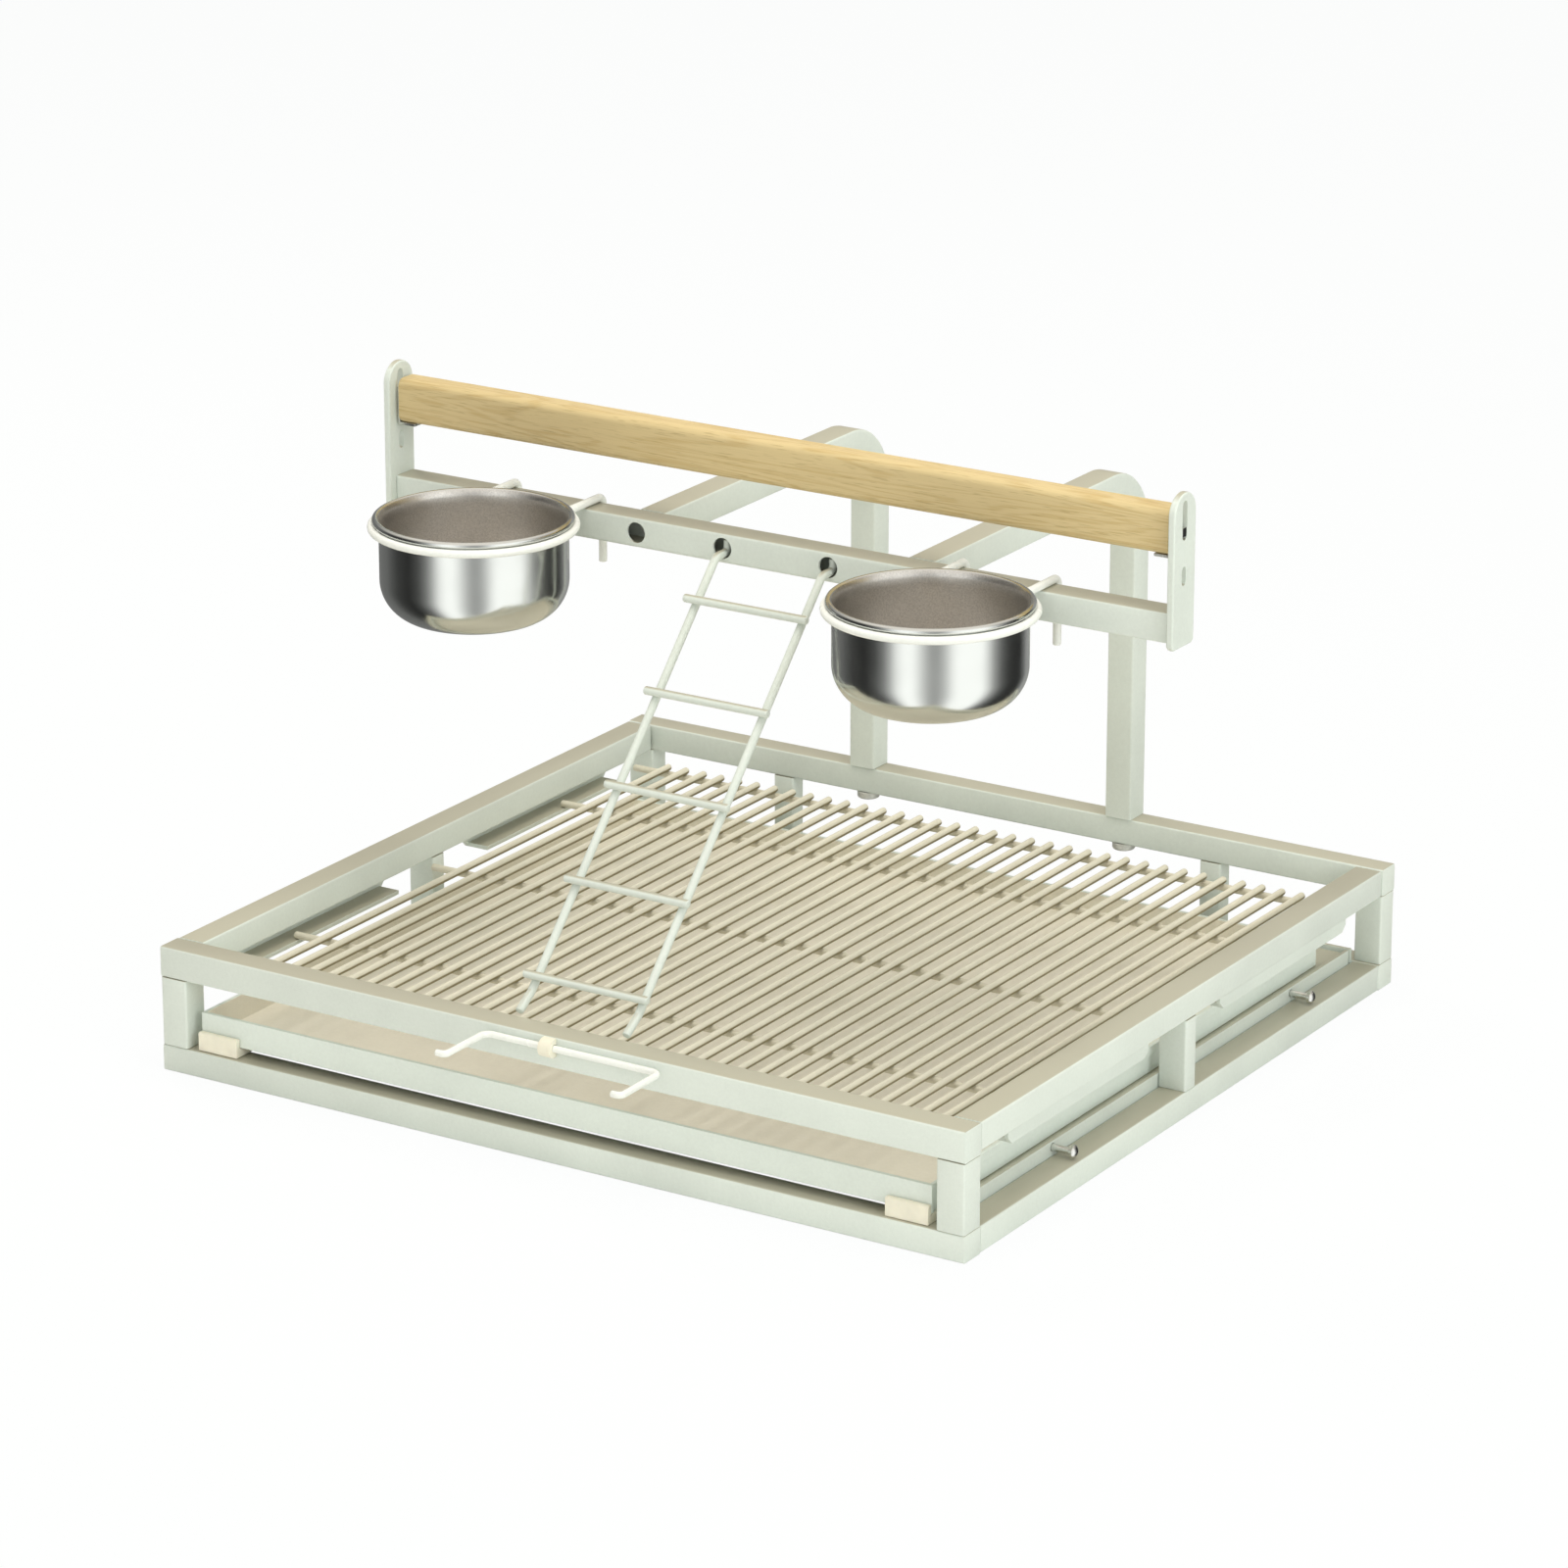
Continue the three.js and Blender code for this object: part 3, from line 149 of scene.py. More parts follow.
class PlayStandStage(bpy.types.PropertyGroup):
    azimuth: bpy.props.FloatProperty(
        name="Azimuth", description="Camera's turn from the front, towards the right",
        default=radians(32.08), unit="ROTATION")
    elevation: bpy.props.FloatProperty(
        name="Elevation", description="Camera's height angle above the horizon",
        default=radians(18.84), unit="ROTATION")
    distance: length_of("Distance", "Camera's distance from the aim point", 4157)
    shift_left: length_of("Aim left", "Camera's move to its own left", 3.3)
    shift_up: length_of("Aim up", "Camera's move along its own up", 161.5)
    lens: bpy.props.FloatProperty(
        name="Lens", description="Focal length on a 36 mm sensor", default=142.45,
        unit="CAMERA")
    floor: length_of("Floor", "Side of the square floor", 24000)


# ---------------------------------------------------------------- shapes


def grid_faces(rows, columns):
    """Quads of a grid that closes on itself across its columns.

    Their corners are (i, j), (i, j + 1), (i + 1, j + 1), (i + 1, j).
    """
    i = np.arange(rows - 1)[:, None] * columns
    j = np.arange(columns)[None, :]
    k = (j + 1) % columns
    return np.stack([i + j, i + k, i + columns + k, i + columns + j], -1).reshape(-1, 4)


def rounded_section(width, height, radius, steps=4):
    """A rectangle's outline with round corners.

    A corner is its centre plus radius times (cos, sin) of a quarter turn.
    """
    turn = np.linspace(0.0, np.pi / 2, steps + 1)
    quarter = np.arange(4)[:, None] * np.pi / 2
    centre = np.array([(1, 1), (-1, 1), (-1, -1), (1, -1)], float)
    centre *= np.array([width / 2 - radius, height / 2 - radius])
    angle = quarter + turn[None, :]
    round_part = radius * np.stack([np.cos(angle), np.sin(angle)], -1)
    return (centre[:, None, :] + round_part).reshape(-1, 2)


def round_section(radius, sides):
    """A circle's outline: radius times (cos, sin) of equal turns."""
    angle = np.arange(sides) * 2 * np.pi / sides
    return radius * np.stack([np.cos(angle), np.sin(angle)], -1)


def bent_line(corners, radii, steps=8):
    """Corner points with each inner corner turned into an arc.

    The arc touches both runs at radius * tan(turn / 2) from the corner.
    """
    corners = np.asarray(corners, float)
    back = corners[:-2] - corners[1:-1]
    ahead = corners[2:] - corners[1:-1]
    back /= np.linalg.norm(back, axis=1, keepdims=True)
    ahead /= np.linalg.norm(ahead, axis=1, keepdims=True)
    half = (np.pi - np.arccos((back * ahead).sum(1))) / 2
    radii = np.asarray(radii, float)
    start = corners[1:-1] + back * (radii * np.tan(half))[:, None]
    middle = back + ahead
    middle /= np.linalg.norm(middle, axis=1, keepdims=True)
    centre = corners[1:-1] + middle * (radii / np.cos(half))[:, None]
    spoke = start - centre
    angle = half[:, None] * 2 * np.linspace(0, 1, steps + 1)[None, :]
    arc = (centre[:, None, :] + spoke[:, None, :] * np.cos(angle)[..., None]
           - back[:, None, :] * (radii[:, None] * np.sin(angle))[..., None])
    return np.vstack([corners[:1], arc.reshape(-1, 3), corners[-1:]])


def sweep(path, section, side):
    """A closed section carried along a flat path, capped at both ends.

    point = path + u * side + v * (tangent x side), the tangent being the mean of the two
    runs that meet there. The section is one outline, or one for each path point.
    """
    path = np.asarray(path, float)
    run = np.diff(path, axis=0)
    run /= np.linalg.norm(run, axis=1, keepdims=True)
    tangent = np.vstack([run[:1], run[:-1] + run[1:], run[-1:]])
    tangent /= np.linalg.norm(tangent, axis=1, keepdims=True)
    side = np.asarray(side, float)
    up = np.cross(tangent, side)
    outline = np.broadcast_to(section, (len(path), *np.shape(section)[-2:]))
    points = (path[:, None, :] + outline[..., :1] * side
              + outline[..., 1:] * up[:, None, :]).reshape(-1, 3)
    count = outline.shape[1]
    faces = grid_faces(len(path), count).tolist()
    last = (len(path) - 1) * count
    faces.append(list(range(count))[::-1])
    faces.append(list(range(last, last + count)))
    return points, faces


def eased_wire(path, radius, side, sides=16, ease=0.3, steps=3):
    """A round wire whose cut ends are eased.

    Near an end the radius falls by a quarter circle of ease * radius.
    """
    path = np.asarray(path, float)
    turn = np.linspace(0.0, np.pi / 2, steps + 1)
    reach = ease * radius * (1 - np.cos(turn))
    shrink = 1 - ease * (1 - np.sin(turn))
    first = path[1] - path[0]
    last = path[-2] - path[-1]
    first /= np.linalg.norm(first)
    last /= np.linalg.norm(last)
    head = path[0] + reach[:, None] * first
    tail = path[-1] + reach[::-1, None] * last
    scale = np.concatenate([shrink, np.ones(len(path) - 2), shrink[::-1]])
    outline = round_section(radius, sides)[None] * scale[:, None, None]
    return sweep(np.vstack([head, path[1:-1], tail]), outline, side)


def tube(low, high, axis, radius, ease, steps=4):
    """A round-cornered tube that fills a box, drawn in by the easing at both ends."""
    low, high = np.array(low, float), np.array(high, float)
    middle, size = (low + high) / 2, high - low
    u, v = (axis + 1) % 3, (axis + 2) % 3
    draw = np.array([1.0, 0.3, 0.0, 0.0, 0.3, 1.0]) * ease
    along = np.array([0.0, 0.3, 1.0, -1.0, -0.3, 0.0]) * ease
    along += np.array([low[axis]] * 3 + [high[axis]] * 3)
    path = np.tile(middle, (6, 1))
    path[:, axis] = along
    full = rounded_section(size[u], size[v], radius, steps)
    inset = np.sign(full) * draw[:, None, None]
    return sweep(path, full[None] - inset, np.eye(3)[u])


def turned(profile, centre, axis="z", segments=64):
    """A profile of (radius, height) turned about an axis through the centre.

    The points are (r cos a, r sin a, h), and the profile's ends lie on the axis.
    """
    profile = np.asarray(profile, float)
    angle = np.arange(segments) * 2 * np.pi / segments
    ring = profile[1:-1]
    points = np.stack([ring[:, :1] * np.cos(angle), ring[:, :1] * np.sin(angle),
                       np.repeat(ring[:, 1:], segments, 1)], -1).reshape(-1, 3)
    count = len(points)
    points = np.vstack([points, [[0, 0, profile[0, 1]], [0, 0, profile[-1, 1]]]])
    faces = grid_faces(len(ring), segments).tolist()
    j = np.arange(segments)
    k = (j + 1) % segments
    top = count - segments
    faces += np.stack([np.full(segments, count), k, j], 1).tolist()
    faces += np.stack([np.full(segments, count + 1), top + j, top + k], 1).tolist()
    turn = {"z": np.eye(3), "y": np.array([[1, 0, 0], [0, 0, 1], [0, -1, 0]], float),
            "x": np.array([[0, 0, 1], [0, 1, 0], [-1, 0, 0]], float),
            "-x": np.array([[0, 0, -1], [0, 1, 0], [1, 0, 0]], float)}[axis]
    return points @ turn.T + np.asarray(centre, float), faces


def wire_ring(centre, radius, wire, segments=96, sides=16):
    """A wire bent to a circle in a level plane.

    The points are ((R + r cos b) cos a, (R + r cos b) sin a, r sin b).
    """
    a = (np.arange(segments + 1) * 2 * np.pi / segments)[:, None]
    b = (np.arange(sides) * 2 * np.pi / sides)[None, :]
    reach = radius + wire * np.cos(b)
    points = np.stack([reach * np.cos(a), reach * np.sin(a),
                       np.broadcast_to(wire * np.sin(b), (segments + 1, sides))], -1)
    faces = grid_faces(segments + 1, sides) % (segments * sides)
    points = points[:-1].reshape(-1, 3) + np.asarray(centre, float)
    return points, faces[:, ::-1].tolist()


def arc(centre, radius, start, end, steps):
    """Points of an arc in a plane, angles in degrees."""
    angle = np.radians(np.linspace(start, end, steps + 1))
    return np.stack([centre[0] + radius * np.cos(angle), centre[1] + radius * np.sin(angle)], 1)


def together(*shapes):
    """Several (points, faces) shapes as one."""
    points, faces, count = [], [], 0
    for more_points, more_faces in shapes:
        points.append(more_points)
        faces += [[index + count for index in face] for face in more_faces]
        count += len(more_points)
    return np.vstack(points), faces


def straight(start, end, wire):
    """A wire's path along an axis, with a point one wire radius inside each end."""
    start, end = np.array(start, float), np.array(end, float)
    inward = wire * np.sign(end - start)
    return np.array([start, start + inward, end - inward, end])


def mesh_of(name, shape):
    """A (points, faces) shape as a new mesh."""
    points, faces = shape
    mesh = bpy.data.meshes.new(name)
    mesh.from_pydata(np.asarray(points, float).tolist(), [], faces)
    return mesh


def linked(name, data):
    """A new object in the scene."""
    made = bpy.data.objects.new(name, data)
    bpy.context.scene.collection.objects.link(made)
    return made


def smoothed(mesh, angle=32):
    """Shades a mesh smooth between edges that turn less than an angle in degrees."""
    mesh.shade_smooth()
    mesh.set_sharp_from_angle(angle=radians(angle))


def piece(name, shape, finishes, body, nodes=(), face_finish=None, angle=35):
    """Puts a shape into a mesh object with its finishes, body and replaced nodes."""
    mesh = mesh_of(name, shape)
    for finish in finishes:
        mesh.materials.append(finish)
    if face_finish is not None:
        mesh.polygons.foreach_set("material_index", np.asarray(face_finish, np.int32))
    mesh.validate()
    smoothed(mesh, angle)
    made = linked(name, mesh)
    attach(made, body)
    if nodes:
        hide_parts(*nodes)
    return made


def merged_copy(node, finish, body, edge, segments=2):
    """A CAD node's mesh with doubles merged, flat faces whole and sharp edges rounded."""
    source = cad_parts[node]
    work = bmesh.new()
    work.from_mesh(source.data)
    bmesh.ops.remove_doubles(work, verts=work.verts, dist=2e-6)
    bmesh.ops.dissolve_limit(
        work, angle_limit=radians(0.6), verts=work.verts, edges=work.edges)
    mesh = bpy.data.meshes.new(node + "_finished")
    work.to_mesh(mesh)
    work.free()
    normals = mesh.attributes.get("custom_normal")
    if normals:
        mesh.attributes.remove(normals)
    mesh.materials.clear()
    mesh.materials.append(finish)
    smoothed(mesh)
    made = linked(node + "_finished", mesh)
    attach(made, body)
    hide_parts(node)
    round_edges(made, edge, segments)
    return made


def round_edges(made, width, segments=2):
    """Rounds a piece's sharp edges with a live bevel."""
    bevel = made.modifiers.new("rounded_edges", "BEVEL")
    bevel.width = width
    bevel.segments = segments
    bevel.limit_method = "ANGLE"
    bevel.angle_limit = radians(32)
    bevel.harden_normals = True
    bevel.use_clamp_overlap = True


def carve(made, shapes):
    """Takes closed shapes out of a piece and keeps the result as its mesh."""
    cutters = []
    for shape in shapes:
        cutter = linked("cutter", mesh_of("cutter", shape))
        cutters.append(cutter)
        cut = made.modifiers.new("cut", "BOOLEAN")
        cut.operation = "DIFFERENCE"
        cut.solver = "EXACT"
        cut.object = cutter
    bpy.context.view_layer.update()
    graph = bpy.context.evaluated_depsgraph_get()
    result = bpy.data.meshes.new_from_object(made.evaluated_get(graph))
    old = made.data
    made.modifiers.clear()
    made.data = result
    bpy.data.meshes.remove(old)
    for cutter in cutters:
        mesh = cutter.data
        bpy.data.objects.remove(cutter)
        bpy.data.meshes.remove(mesh)
    smoothed(result)


# ---------------------------------------------------------------- finishes


def add_node(tree, kind, inputs=None, **settings):
    """Adds one node with its settings.

    An input takes a plain value, an output, or a node for its first output.
    """
    made = tree.nodes.new(kind)
    for key, value in settings.items():
        setattr(made, key, value)
    for key, value in (inputs or {}).items():
        if isinstance(value, bpy.types.Node):
            value = value.outputs[0]
        if isinstance(value, bpy.types.NodeSocket):
            tree.links.new(value, made.inputs[key])
        else:
            made.inputs[key].default_value = value
    return made


def ramp(tree, value, stops):
    """Colours laid along a value from 0 to 1, each stop a (position, colour)."""
    made = add_node(tree, "ShaderNodeValToRGB", {"Fac": value})
    elements = made.color_ramp.elements
    while len(elements) < len(stops):
        elements.new(0.5)
    for element, (place, colour) in zip(elements, stops):
        element.position = place
        element.color = colour
    return made


def noise(tree, place, size, detail=2.0, roughness=0.5):
    """A noise with features of a size in the units of its place."""
    return add_node(tree, "ShaderNodeTexNoise", {
        "Vector": place, "Scale": 1 / size, "Detail": detail, "Roughness": roughness})


def ranged(tree, value, start, end, low=0.0, high=1.0, **settings):
    """The stretch of a value from start to end, spread over low to high."""
    return add_node(tree, "ShaderNodeMapRange", {
        "Value": value, "From Min": start, "From Max": end, "To Min": low, "To Max": high},
        **settings)


def computed(tree, operation, *values):
    """A math node over its values."""
    return add_node(tree, "ShaderNodeMath", dict(enumerate(values)), operation=operation)


def blended(tree, share, first, second):
    """Two colours mixed by the second one's share."""
    return add_node(tree, "ShaderNodeMix", {0: share, 6: first, 7: second},
                    data_type="RGBA").outputs[2]


def surfaced(tree, inputs):
    """The principled surface, joined to the material's output."""
    skin = add_node(tree, "ShaderNodeBsdfPrincipled", inputs)
    add_node(tree, "ShaderNodeOutputMaterial", {"Surface": skin})


def shaded(colour, factor):
    """A colour made lighter or darker by a factor."""
    return (*[min(1.0, c * factor) for c in colour[:3]], 1.0)


def new_finish(name):
    """An empty material, its tree and the object's own coordinates in it."""
    made = bpy.data.materials.new(name)
    made.use_nodes = True
    tree = made.node_tree
    tree.nodes.clear()
    return made, tree, add_node(tree, "ShaderNodeTexCoord").outputs["Object"]


def powder_coat(name, colour, roughness, peel=1.6, top=None, under=None):
    """Polyester powder coat, sprayed and baked on steel.

    The eye sees a satin skin with a very fine orange peel, a slightly uneven sheen, and a
    colour that drifts a little where the coat is thicker. Faces that look up can take a
    darker, warmer painted shade, and round wires a painted brown shade along their lower sides.
    """
    made, tree, place = new_finish(name)
    # thicker and thinner coat, in patches about 70 mm across
    drift = noise(tree, place, mm(70), detail=3.0, roughness=0.55)
    tone = ramp(tree, drift, [
        (0.32, shaded(colour, 0.955)), (0.52, colour), (0.7, shaded(colour, 1.025))])
    # pigment specks, drawn at 2.5 mm because their real 0.1 mm doesn't show
    speck = noise(tree, place, mm(2.5), roughness=0.7)
    body = add_node(tree, "ShaderNodeVectorMath", {
        0: tone, "Scale": ranged(tree, speck, 0.3, 0.7, 0.975, 1.02)}, operation="SCALE")
    facing = add_node(tree, "ShaderNodeSeparateXYZ", {
        "Vector": add_node(tree, "ShaderNodeTexCoord").outputs["Normal"]}).outputs["Z"]
    # each tint, a painted shade, sets in where the normal's height passes from the first value to
    # the second
    for tint, first, last in ((top, 0.7, 0.95), (under, 0.22, -0.05)):
        if tint:
            body = blended(tree, ranged(tree, facing, first, last), body, tuple(tint))
    sheen = ranged(tree, drift, 0.3, 0.7, roughness - 0.04, roughness + 0.05)
    orange_peel = noise(tree, place, mm(peel), detail=1.5, roughness=0.4)
    bump = add_node(tree, "ShaderNodeBump", {
        "Height": orange_peel, "Strength": 0.22, "Distance": mm(0.05)})
    surfaced(tree, {"Base Color": body, "Roughness": sheen, "Normal": bump, "IOR": 1.5,
                    "Specular IOR Level": 0.45})
    return made


def turned_steel(name, colour, roughness, line, strength, grain=0.0):
    """Stainless steel, deep drawn and polished on a lathe.

    The eye sees a mirror drawn out by hair-fine rings round the cup, and inside a duller,
    finely grained surface where the polishing wheel doesn't reach.
    """
    made, tree, place = new_finish(name)
    # polishing rings, drawn at the width given because the real 0.05 mm doesn't show
    level = add_node(tree, "ShaderNodeMapping", {
        "Vector": place, "Scale": (6.0, 6.0, 1 / line)})
    rings = noise(tree, level, 1.0, detail=3.0, roughness=0.6)
    smear = noise(tree, place, mm(22), detail=3.0, roughness=0.6)
    dull = ranged(tree, smear, 0.3, 0.75, roughness * 0.85, roughness * 1.3)
    speck = noise(tree, place, mm(1.1), roughness=0.8)
    tone = ramp(tree, speck, [
        (0.3, shaded(colour, 1.0 - grain)), (0.7, shaded(colour, 1.0 + grain / 2))])
    bump = add_node(tree, "ShaderNodeBump", {
        "Height": rings, "Strength": strength, "Distance": mm(0.02)})
    surfaced(tree, {"Base Color": tone, "Metallic": 1.0, "Roughness": dull, "Normal": bump})
    return made


def plated_steel(name, colour, roughness, metal=1.0):
    """Cold-headed steel with nickel plate, or with a coat of zinc flakes in a clear binder.

    The eye sees a soft metal shine, faintly mottled, with tiny tool marks. The flakes look
    paler and flatter than the plate.
    """
    made, tree, place = new_finish(name)
    mottle = noise(tree, place, mm(3), detail=3.0, roughness=0.6)
    tone = ramp(tree, mottle, [(0.3, shaded(colour, 0.86)), (0.65, shaded(colour, 1.05))])
    dull = ranged(tree, mottle, 0.3, 0.7, roughness * 0.8, roughness * 1.25)
    marks = noise(tree, place, mm(0.6))
    bump = add_node(tree, "ShaderNodeBump", {
        "Height": marks, "Strength": 0.15, "Distance": mm(0.03)})
    surfaced(tree, {"Base Color": tone, "Metallic": metal, "Roughness": dull, "Normal": bump})
    return made


def sanded_oak(light, dark):
    """White oak, planed, sanded and oiled.

    The eye sees long rings cut lengthwise into flames, fine fibres along the bar, short dark
    pores, and a soft dry sheen.
    """
    made, tree, place = new_finish("sanded_oak")
    # growth rings: bands of one slow noise, drawn out about fourteen times along the grain
    trunk = add_node(tree, "ShaderNodeMapping", {
        "Vector": place, "Location": (0.35, 0.0, -18.1),
        "Rotation": (0.5, 0.0, 0.0), "Scale": (1 / mm(330), 1 / mm(26), 1 / mm(21))})
    bend = add_node(tree, "ShaderNodeTexNoise", {
        "Vector": trunk, "Scale": 1.3, "Detail": 2.0, "Roughness": 0.45,
        "Distortion": 0.6})
    wave = computed(tree, "SINE", computed(tree, "MULTIPLY", bend, 70.0))
    late = ranged(tree, wave, -0.5, 1.0, interpolation_type="SMOOTHSTEP")
    # fibres 0.9 mm wide and 70 mm long
    fibre_place = add_node(tree, "ShaderNodeMapping", {
        "Vector": place, "Scale": (1 / mm(70), 1 / mm(0.9), 1 / mm(0.9))})
    fibres = noise(tree, fibre_place, 1.0, detail=3.0, roughness=0.6)
    # pores drawn 0.8 mm wide and 14 mm long, wider than the real 0.3 mm so that they show
    pore_place = add_node(tree, "ShaderNodeMapping", {
        "Vector": place, "Scale": (1 / mm(14), 1 / mm(0.8), 1 / mm(0.8))})
    pore = ranged(tree, noise(tree, pore_place, 1.0, detail=1.0), 0.6, 0.72, high=0.4)
    figure = computed(tree, "MULTIPLY_ADD", fibres, 0.75, computed(tree, "MULTIPLY", late, 0.24))
    tone = ramp(tree, figure, [(0.22, light), (0.5, shaded(light, 0.93)), (0.85, dark)])
    height = computed(tree, "SUBTRACT", fibres, pore)
    bump = add_node(tree, "ShaderNodeBump", {
        "Height": height, "Strength": 0.35, "Distance": mm(0.12)})
    surfaced(tree, {
        "Base Color": blended(tree, pore, tone, shaded(dark, 0.62)),
        "Roughness": ranged(tree, fibres, 0.3, 0.7, 0.46, 0.6),
        "Normal": bump, "IOR": 1.5, "Specular IOR Level": 0.35})
    return made


def moulded_nylon(colour):
    """Nylon, injection moulded in a spark-eroded tool.

    The eye sees a slightly waxy cream body with a fine even grain.
    """
    made, tree, place = new_finish("moulded_nylon")
    cloud = noise(tree, place, mm(9))
    tone = ramp(tree, cloud, [(0.3, shaded(colour, 0.95)), (0.7, shaded(colour, 1.02))])
    # the tool's spark grain, about 0.5 mm
    grain = noise(tree, place, mm(0.5))
    bump = add_node(tree, "ShaderNodeBump", {
        "Height": grain, "Strength": 0.2, "Distance": mm(0.04)})
    surfaced(tree, {
        "Base Color": tone, "Roughness": ranged(tree, grain, 0.3, 0.7, 0.36, 0.5),
        "Normal": bump, "IOR": 1.53, "Subsurface Weight": 0.12,
        "Subsurface Radius": (mm(1.5), mm(1.2), mm(0.8))})
    return made


FINISHES = {}


def finish(name):
    """One of the stand's finishes, made once from the colour settings."""
    if name not in FINISHES:
        colours = bpy.context.scene.play_stand_colours
        FINISHES[name] = {
            # the tube coat takes a painted shade on its upward faces
            "tube_enamel": lambda: powder_coat(
                "satin_tube_enamel", colours.enamel, 0.36, 1.6, colours.painted_top_shade),
            # the grate coat takes a painted shade along its wires' lower sides
            "grate_enamel": lambda: powder_coat(
                "satin_grate_enamel", colours.grate, 0.4, 1.2, None, colours.grate_painted_underside_shade),
            "cross_enamel": lambda: powder_coat(
                "satin_cross_wire_enamel", colours.grate, 0.4, 1.2),
            "tray_enamel": lambda: powder_coat("gloss_tray_enamel", colours.tray, 0.32),
            # the tray's inside takes a paler painted-light copy of its enamel
            "tray_inside_painted_light": lambda: powder_coat("tray_inside_enamel", colours.tray_inside_painted_light, 0.42),
            "wire_enamel": lambda: powder_coat("white_wire_enamel", colours.wire, 0.26, 1.1),
            "polished": lambda: turned_steel(
                "polished_stainless_steel", colours.steel, 0.17, mm(0.8), 0.1),
            "satin": lambda: turned_steel(
                "satin_stainless_steel", shaded(colours.inside, 0.98), 0.34, mm(1.1), 0.3, 0.2),
            "bolt": lambda: plated_steel("nickel_plated_steel", colours.bolt, 0.22),
            "zinc": lambda: plated_steel("zinc_flake_coated_steel", colours.bolt, 0.4, 0.45),
            "oak": lambda: sanded_oak(tuple(colours.oak_light), tuple(colours.oak_dark)),
            "plastic": lambda: moulded_nylon(colours.plastic),
        }[name]()
    return FINISHES[name]


# ---------------------------------------------------------------- operators


class PLAYSTAND_OT_stage(bpy.types.Operator):
    """Make the camera, the pale floor and the soft studio light"""

    bl_idname = "play_stand.stage"
    bl_label = "Stage"

    def execute(self, context):
        scene = context.scene
        stage = scene.play_stand_stage
        azimuth, elevation = stage.azimuth, stage.elevation
        back = Vector((np.sin(azimuth) * np.cos(elevation),
                       -np.cos(azimuth) * np.cos(elevation), np.sin(elevation)))
        right = Vector((np.cos(azimuth), np.sin(azimuth), 0.0))
        up = back.cross(right)
        camera = linked("camera", bpy.data.cameras.new("camera"))
        camera.data.lens = stage.lens
        camera.data.sensor_width = 36.0
        camera.data.clip_end = 60.0
        # the aim point stands under the middle of the base, behind the model's own origin
        base_low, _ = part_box("base_top_rail_front")
        _, base_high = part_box("base_top_rail_back")
        aim = Vector((0.0, (base_low.y + base_high.y) / 2, 0.0))
        centre = aim + back * stage.distance + right * -stage.shift_left + up * stage.shift_up
        turn = Matrix((right, up, back)).transposed().to_4x4()
        camera.matrix_world = Matrix.Translation(centre) @ turn
        scene.camera = camera

        half, drop = stage.floor / 2, mm(0.2)
        corners = [(-half, -half), (half, -half), (half, half), (-half, half)]
        mesh = bpy.data.meshes.new("floor")
        mesh.from_pydata([(x, y, -drop) for x, y in corners], [], [(0, 1, 2, 3)])
        floor = linked("floor", mesh)
        floor.visible_glossy = False
        paper, tree, place = new_finish("pale_floor_paper")
        path = add_node(tree, "ShaderNodeLightPath")
        tone = ramp(tree, noise(tree, place, mm(500)), [
            (0.3, linear("#fafaf8")), (0.7, linear("#fcfcfb"))])
        matt = add_node(tree, "ShaderNodeBsdfDiffuse", {"Color": tone})
        glow = add_node(tree, "ShaderNodeEmission", {
            "Color": linear("#fdfefe"), "Strength": 1.0})
        share = computed(tree, "MULTIPLY", path.outputs["Is Camera Ray"], 0.94)
        both = add_node(tree, "ShaderNodeMixShader", {
            0: share, 1: matt, 2: glow})
        add_node(tree, "ShaderNodeOutputMaterial", {"Surface": both})
        mesh.materials.append(paper)

        self.light_world(scene)
        lamp_centre = Vector((0, 0, mm(200)))
        for name, azimuth_deg, elevation_deg, distance, size, power, tint in LAMPS:
            a, e = np.radians(azimuth_deg), np.radians(elevation_deg)
            direction = Vector((np.sin(a) * np.cos(e), -np.cos(a) * np.cos(e), np.sin(e)))
            lamp = bpy.data.lights.new(name, "AREA")
            lamp.shape = "DISK"
            lamp.size = size
            lamp.energy = power
            lamp.color = linear(tint)[:3]
            box = linked(name, lamp)
            box.location = direction * distance + lamp_centre
            box.rotation_mode = "QUATERNION"
            box.rotation_quaternion = direction.to_track_quat("Z", "Y")
            box.visible_glossy = False
            box.visible_camera = False
        scene.view_settings.view_transform = "Standard"
        return {"FINISHED"}

    def light_world(self, scene):
        """The studio: white to the eye, soft for the light, softboxes and flags for the shine."""
        world = bpy.data.worlds.new("studio")
        world.use_nodes = True
        scene.world = world
        tree = world.node_tree
        tree.nodes.clear()
        path = add_node(tree, "ShaderNodeLightPath")
        direction = add_node(tree, "ShaderNodeTexCoord").outputs["Generated"]
        part = add_node(tree, "ShaderNodeSeparateXYZ", {"Vector": direction})
        height = part.outputs["Z"]
        ahead = computed(tree, "MULTIPLY", part.outputs["Y"], -1.0)
        turn = ranged(tree, computed(tree, "ARCTAN2", part.outputs["X"], ahead), -np.pi, np.pi)
        bands = ramp(tree, turn, [
            ((a + 180) / 360, (v, v * 1.01, v * 0.99, 1.0)) for a, v in AROUND])
        shine = blended(tree, ranged(tree, height, 0.3, 0.85), bands, linear("#ded8d0"))
        soft = blended(tree, ranged(tree, height, 0.0, 0.8), linear("#e3e8e6"),
                       linear("#d6d0c2"))
        lit, shiny, seen = [
            add_node(tree, "ShaderNodeBackground", {"Color": colour, "Strength": strength})
            for colour, strength in ((soft, 0.93), (shine, 1.35), (linear("#fdfefe"), 1.0))]
        first = add_node(tree, "ShaderNodeMixShader", {
            0: path.outputs["Is Glossy Ray"], 1: lit, 2: shiny})
        clear = computed(tree, "MAXIMUM", path.outputs["Is Camera Ray"],
                         path.outputs["Is Transmission Ray"])
        last = add_node(tree, "ShaderNodeMixShader", {0: clear, 1: first, 2: seen})
        add_node(tree, "ShaderNodeOutputWorld", {"Surface": last})


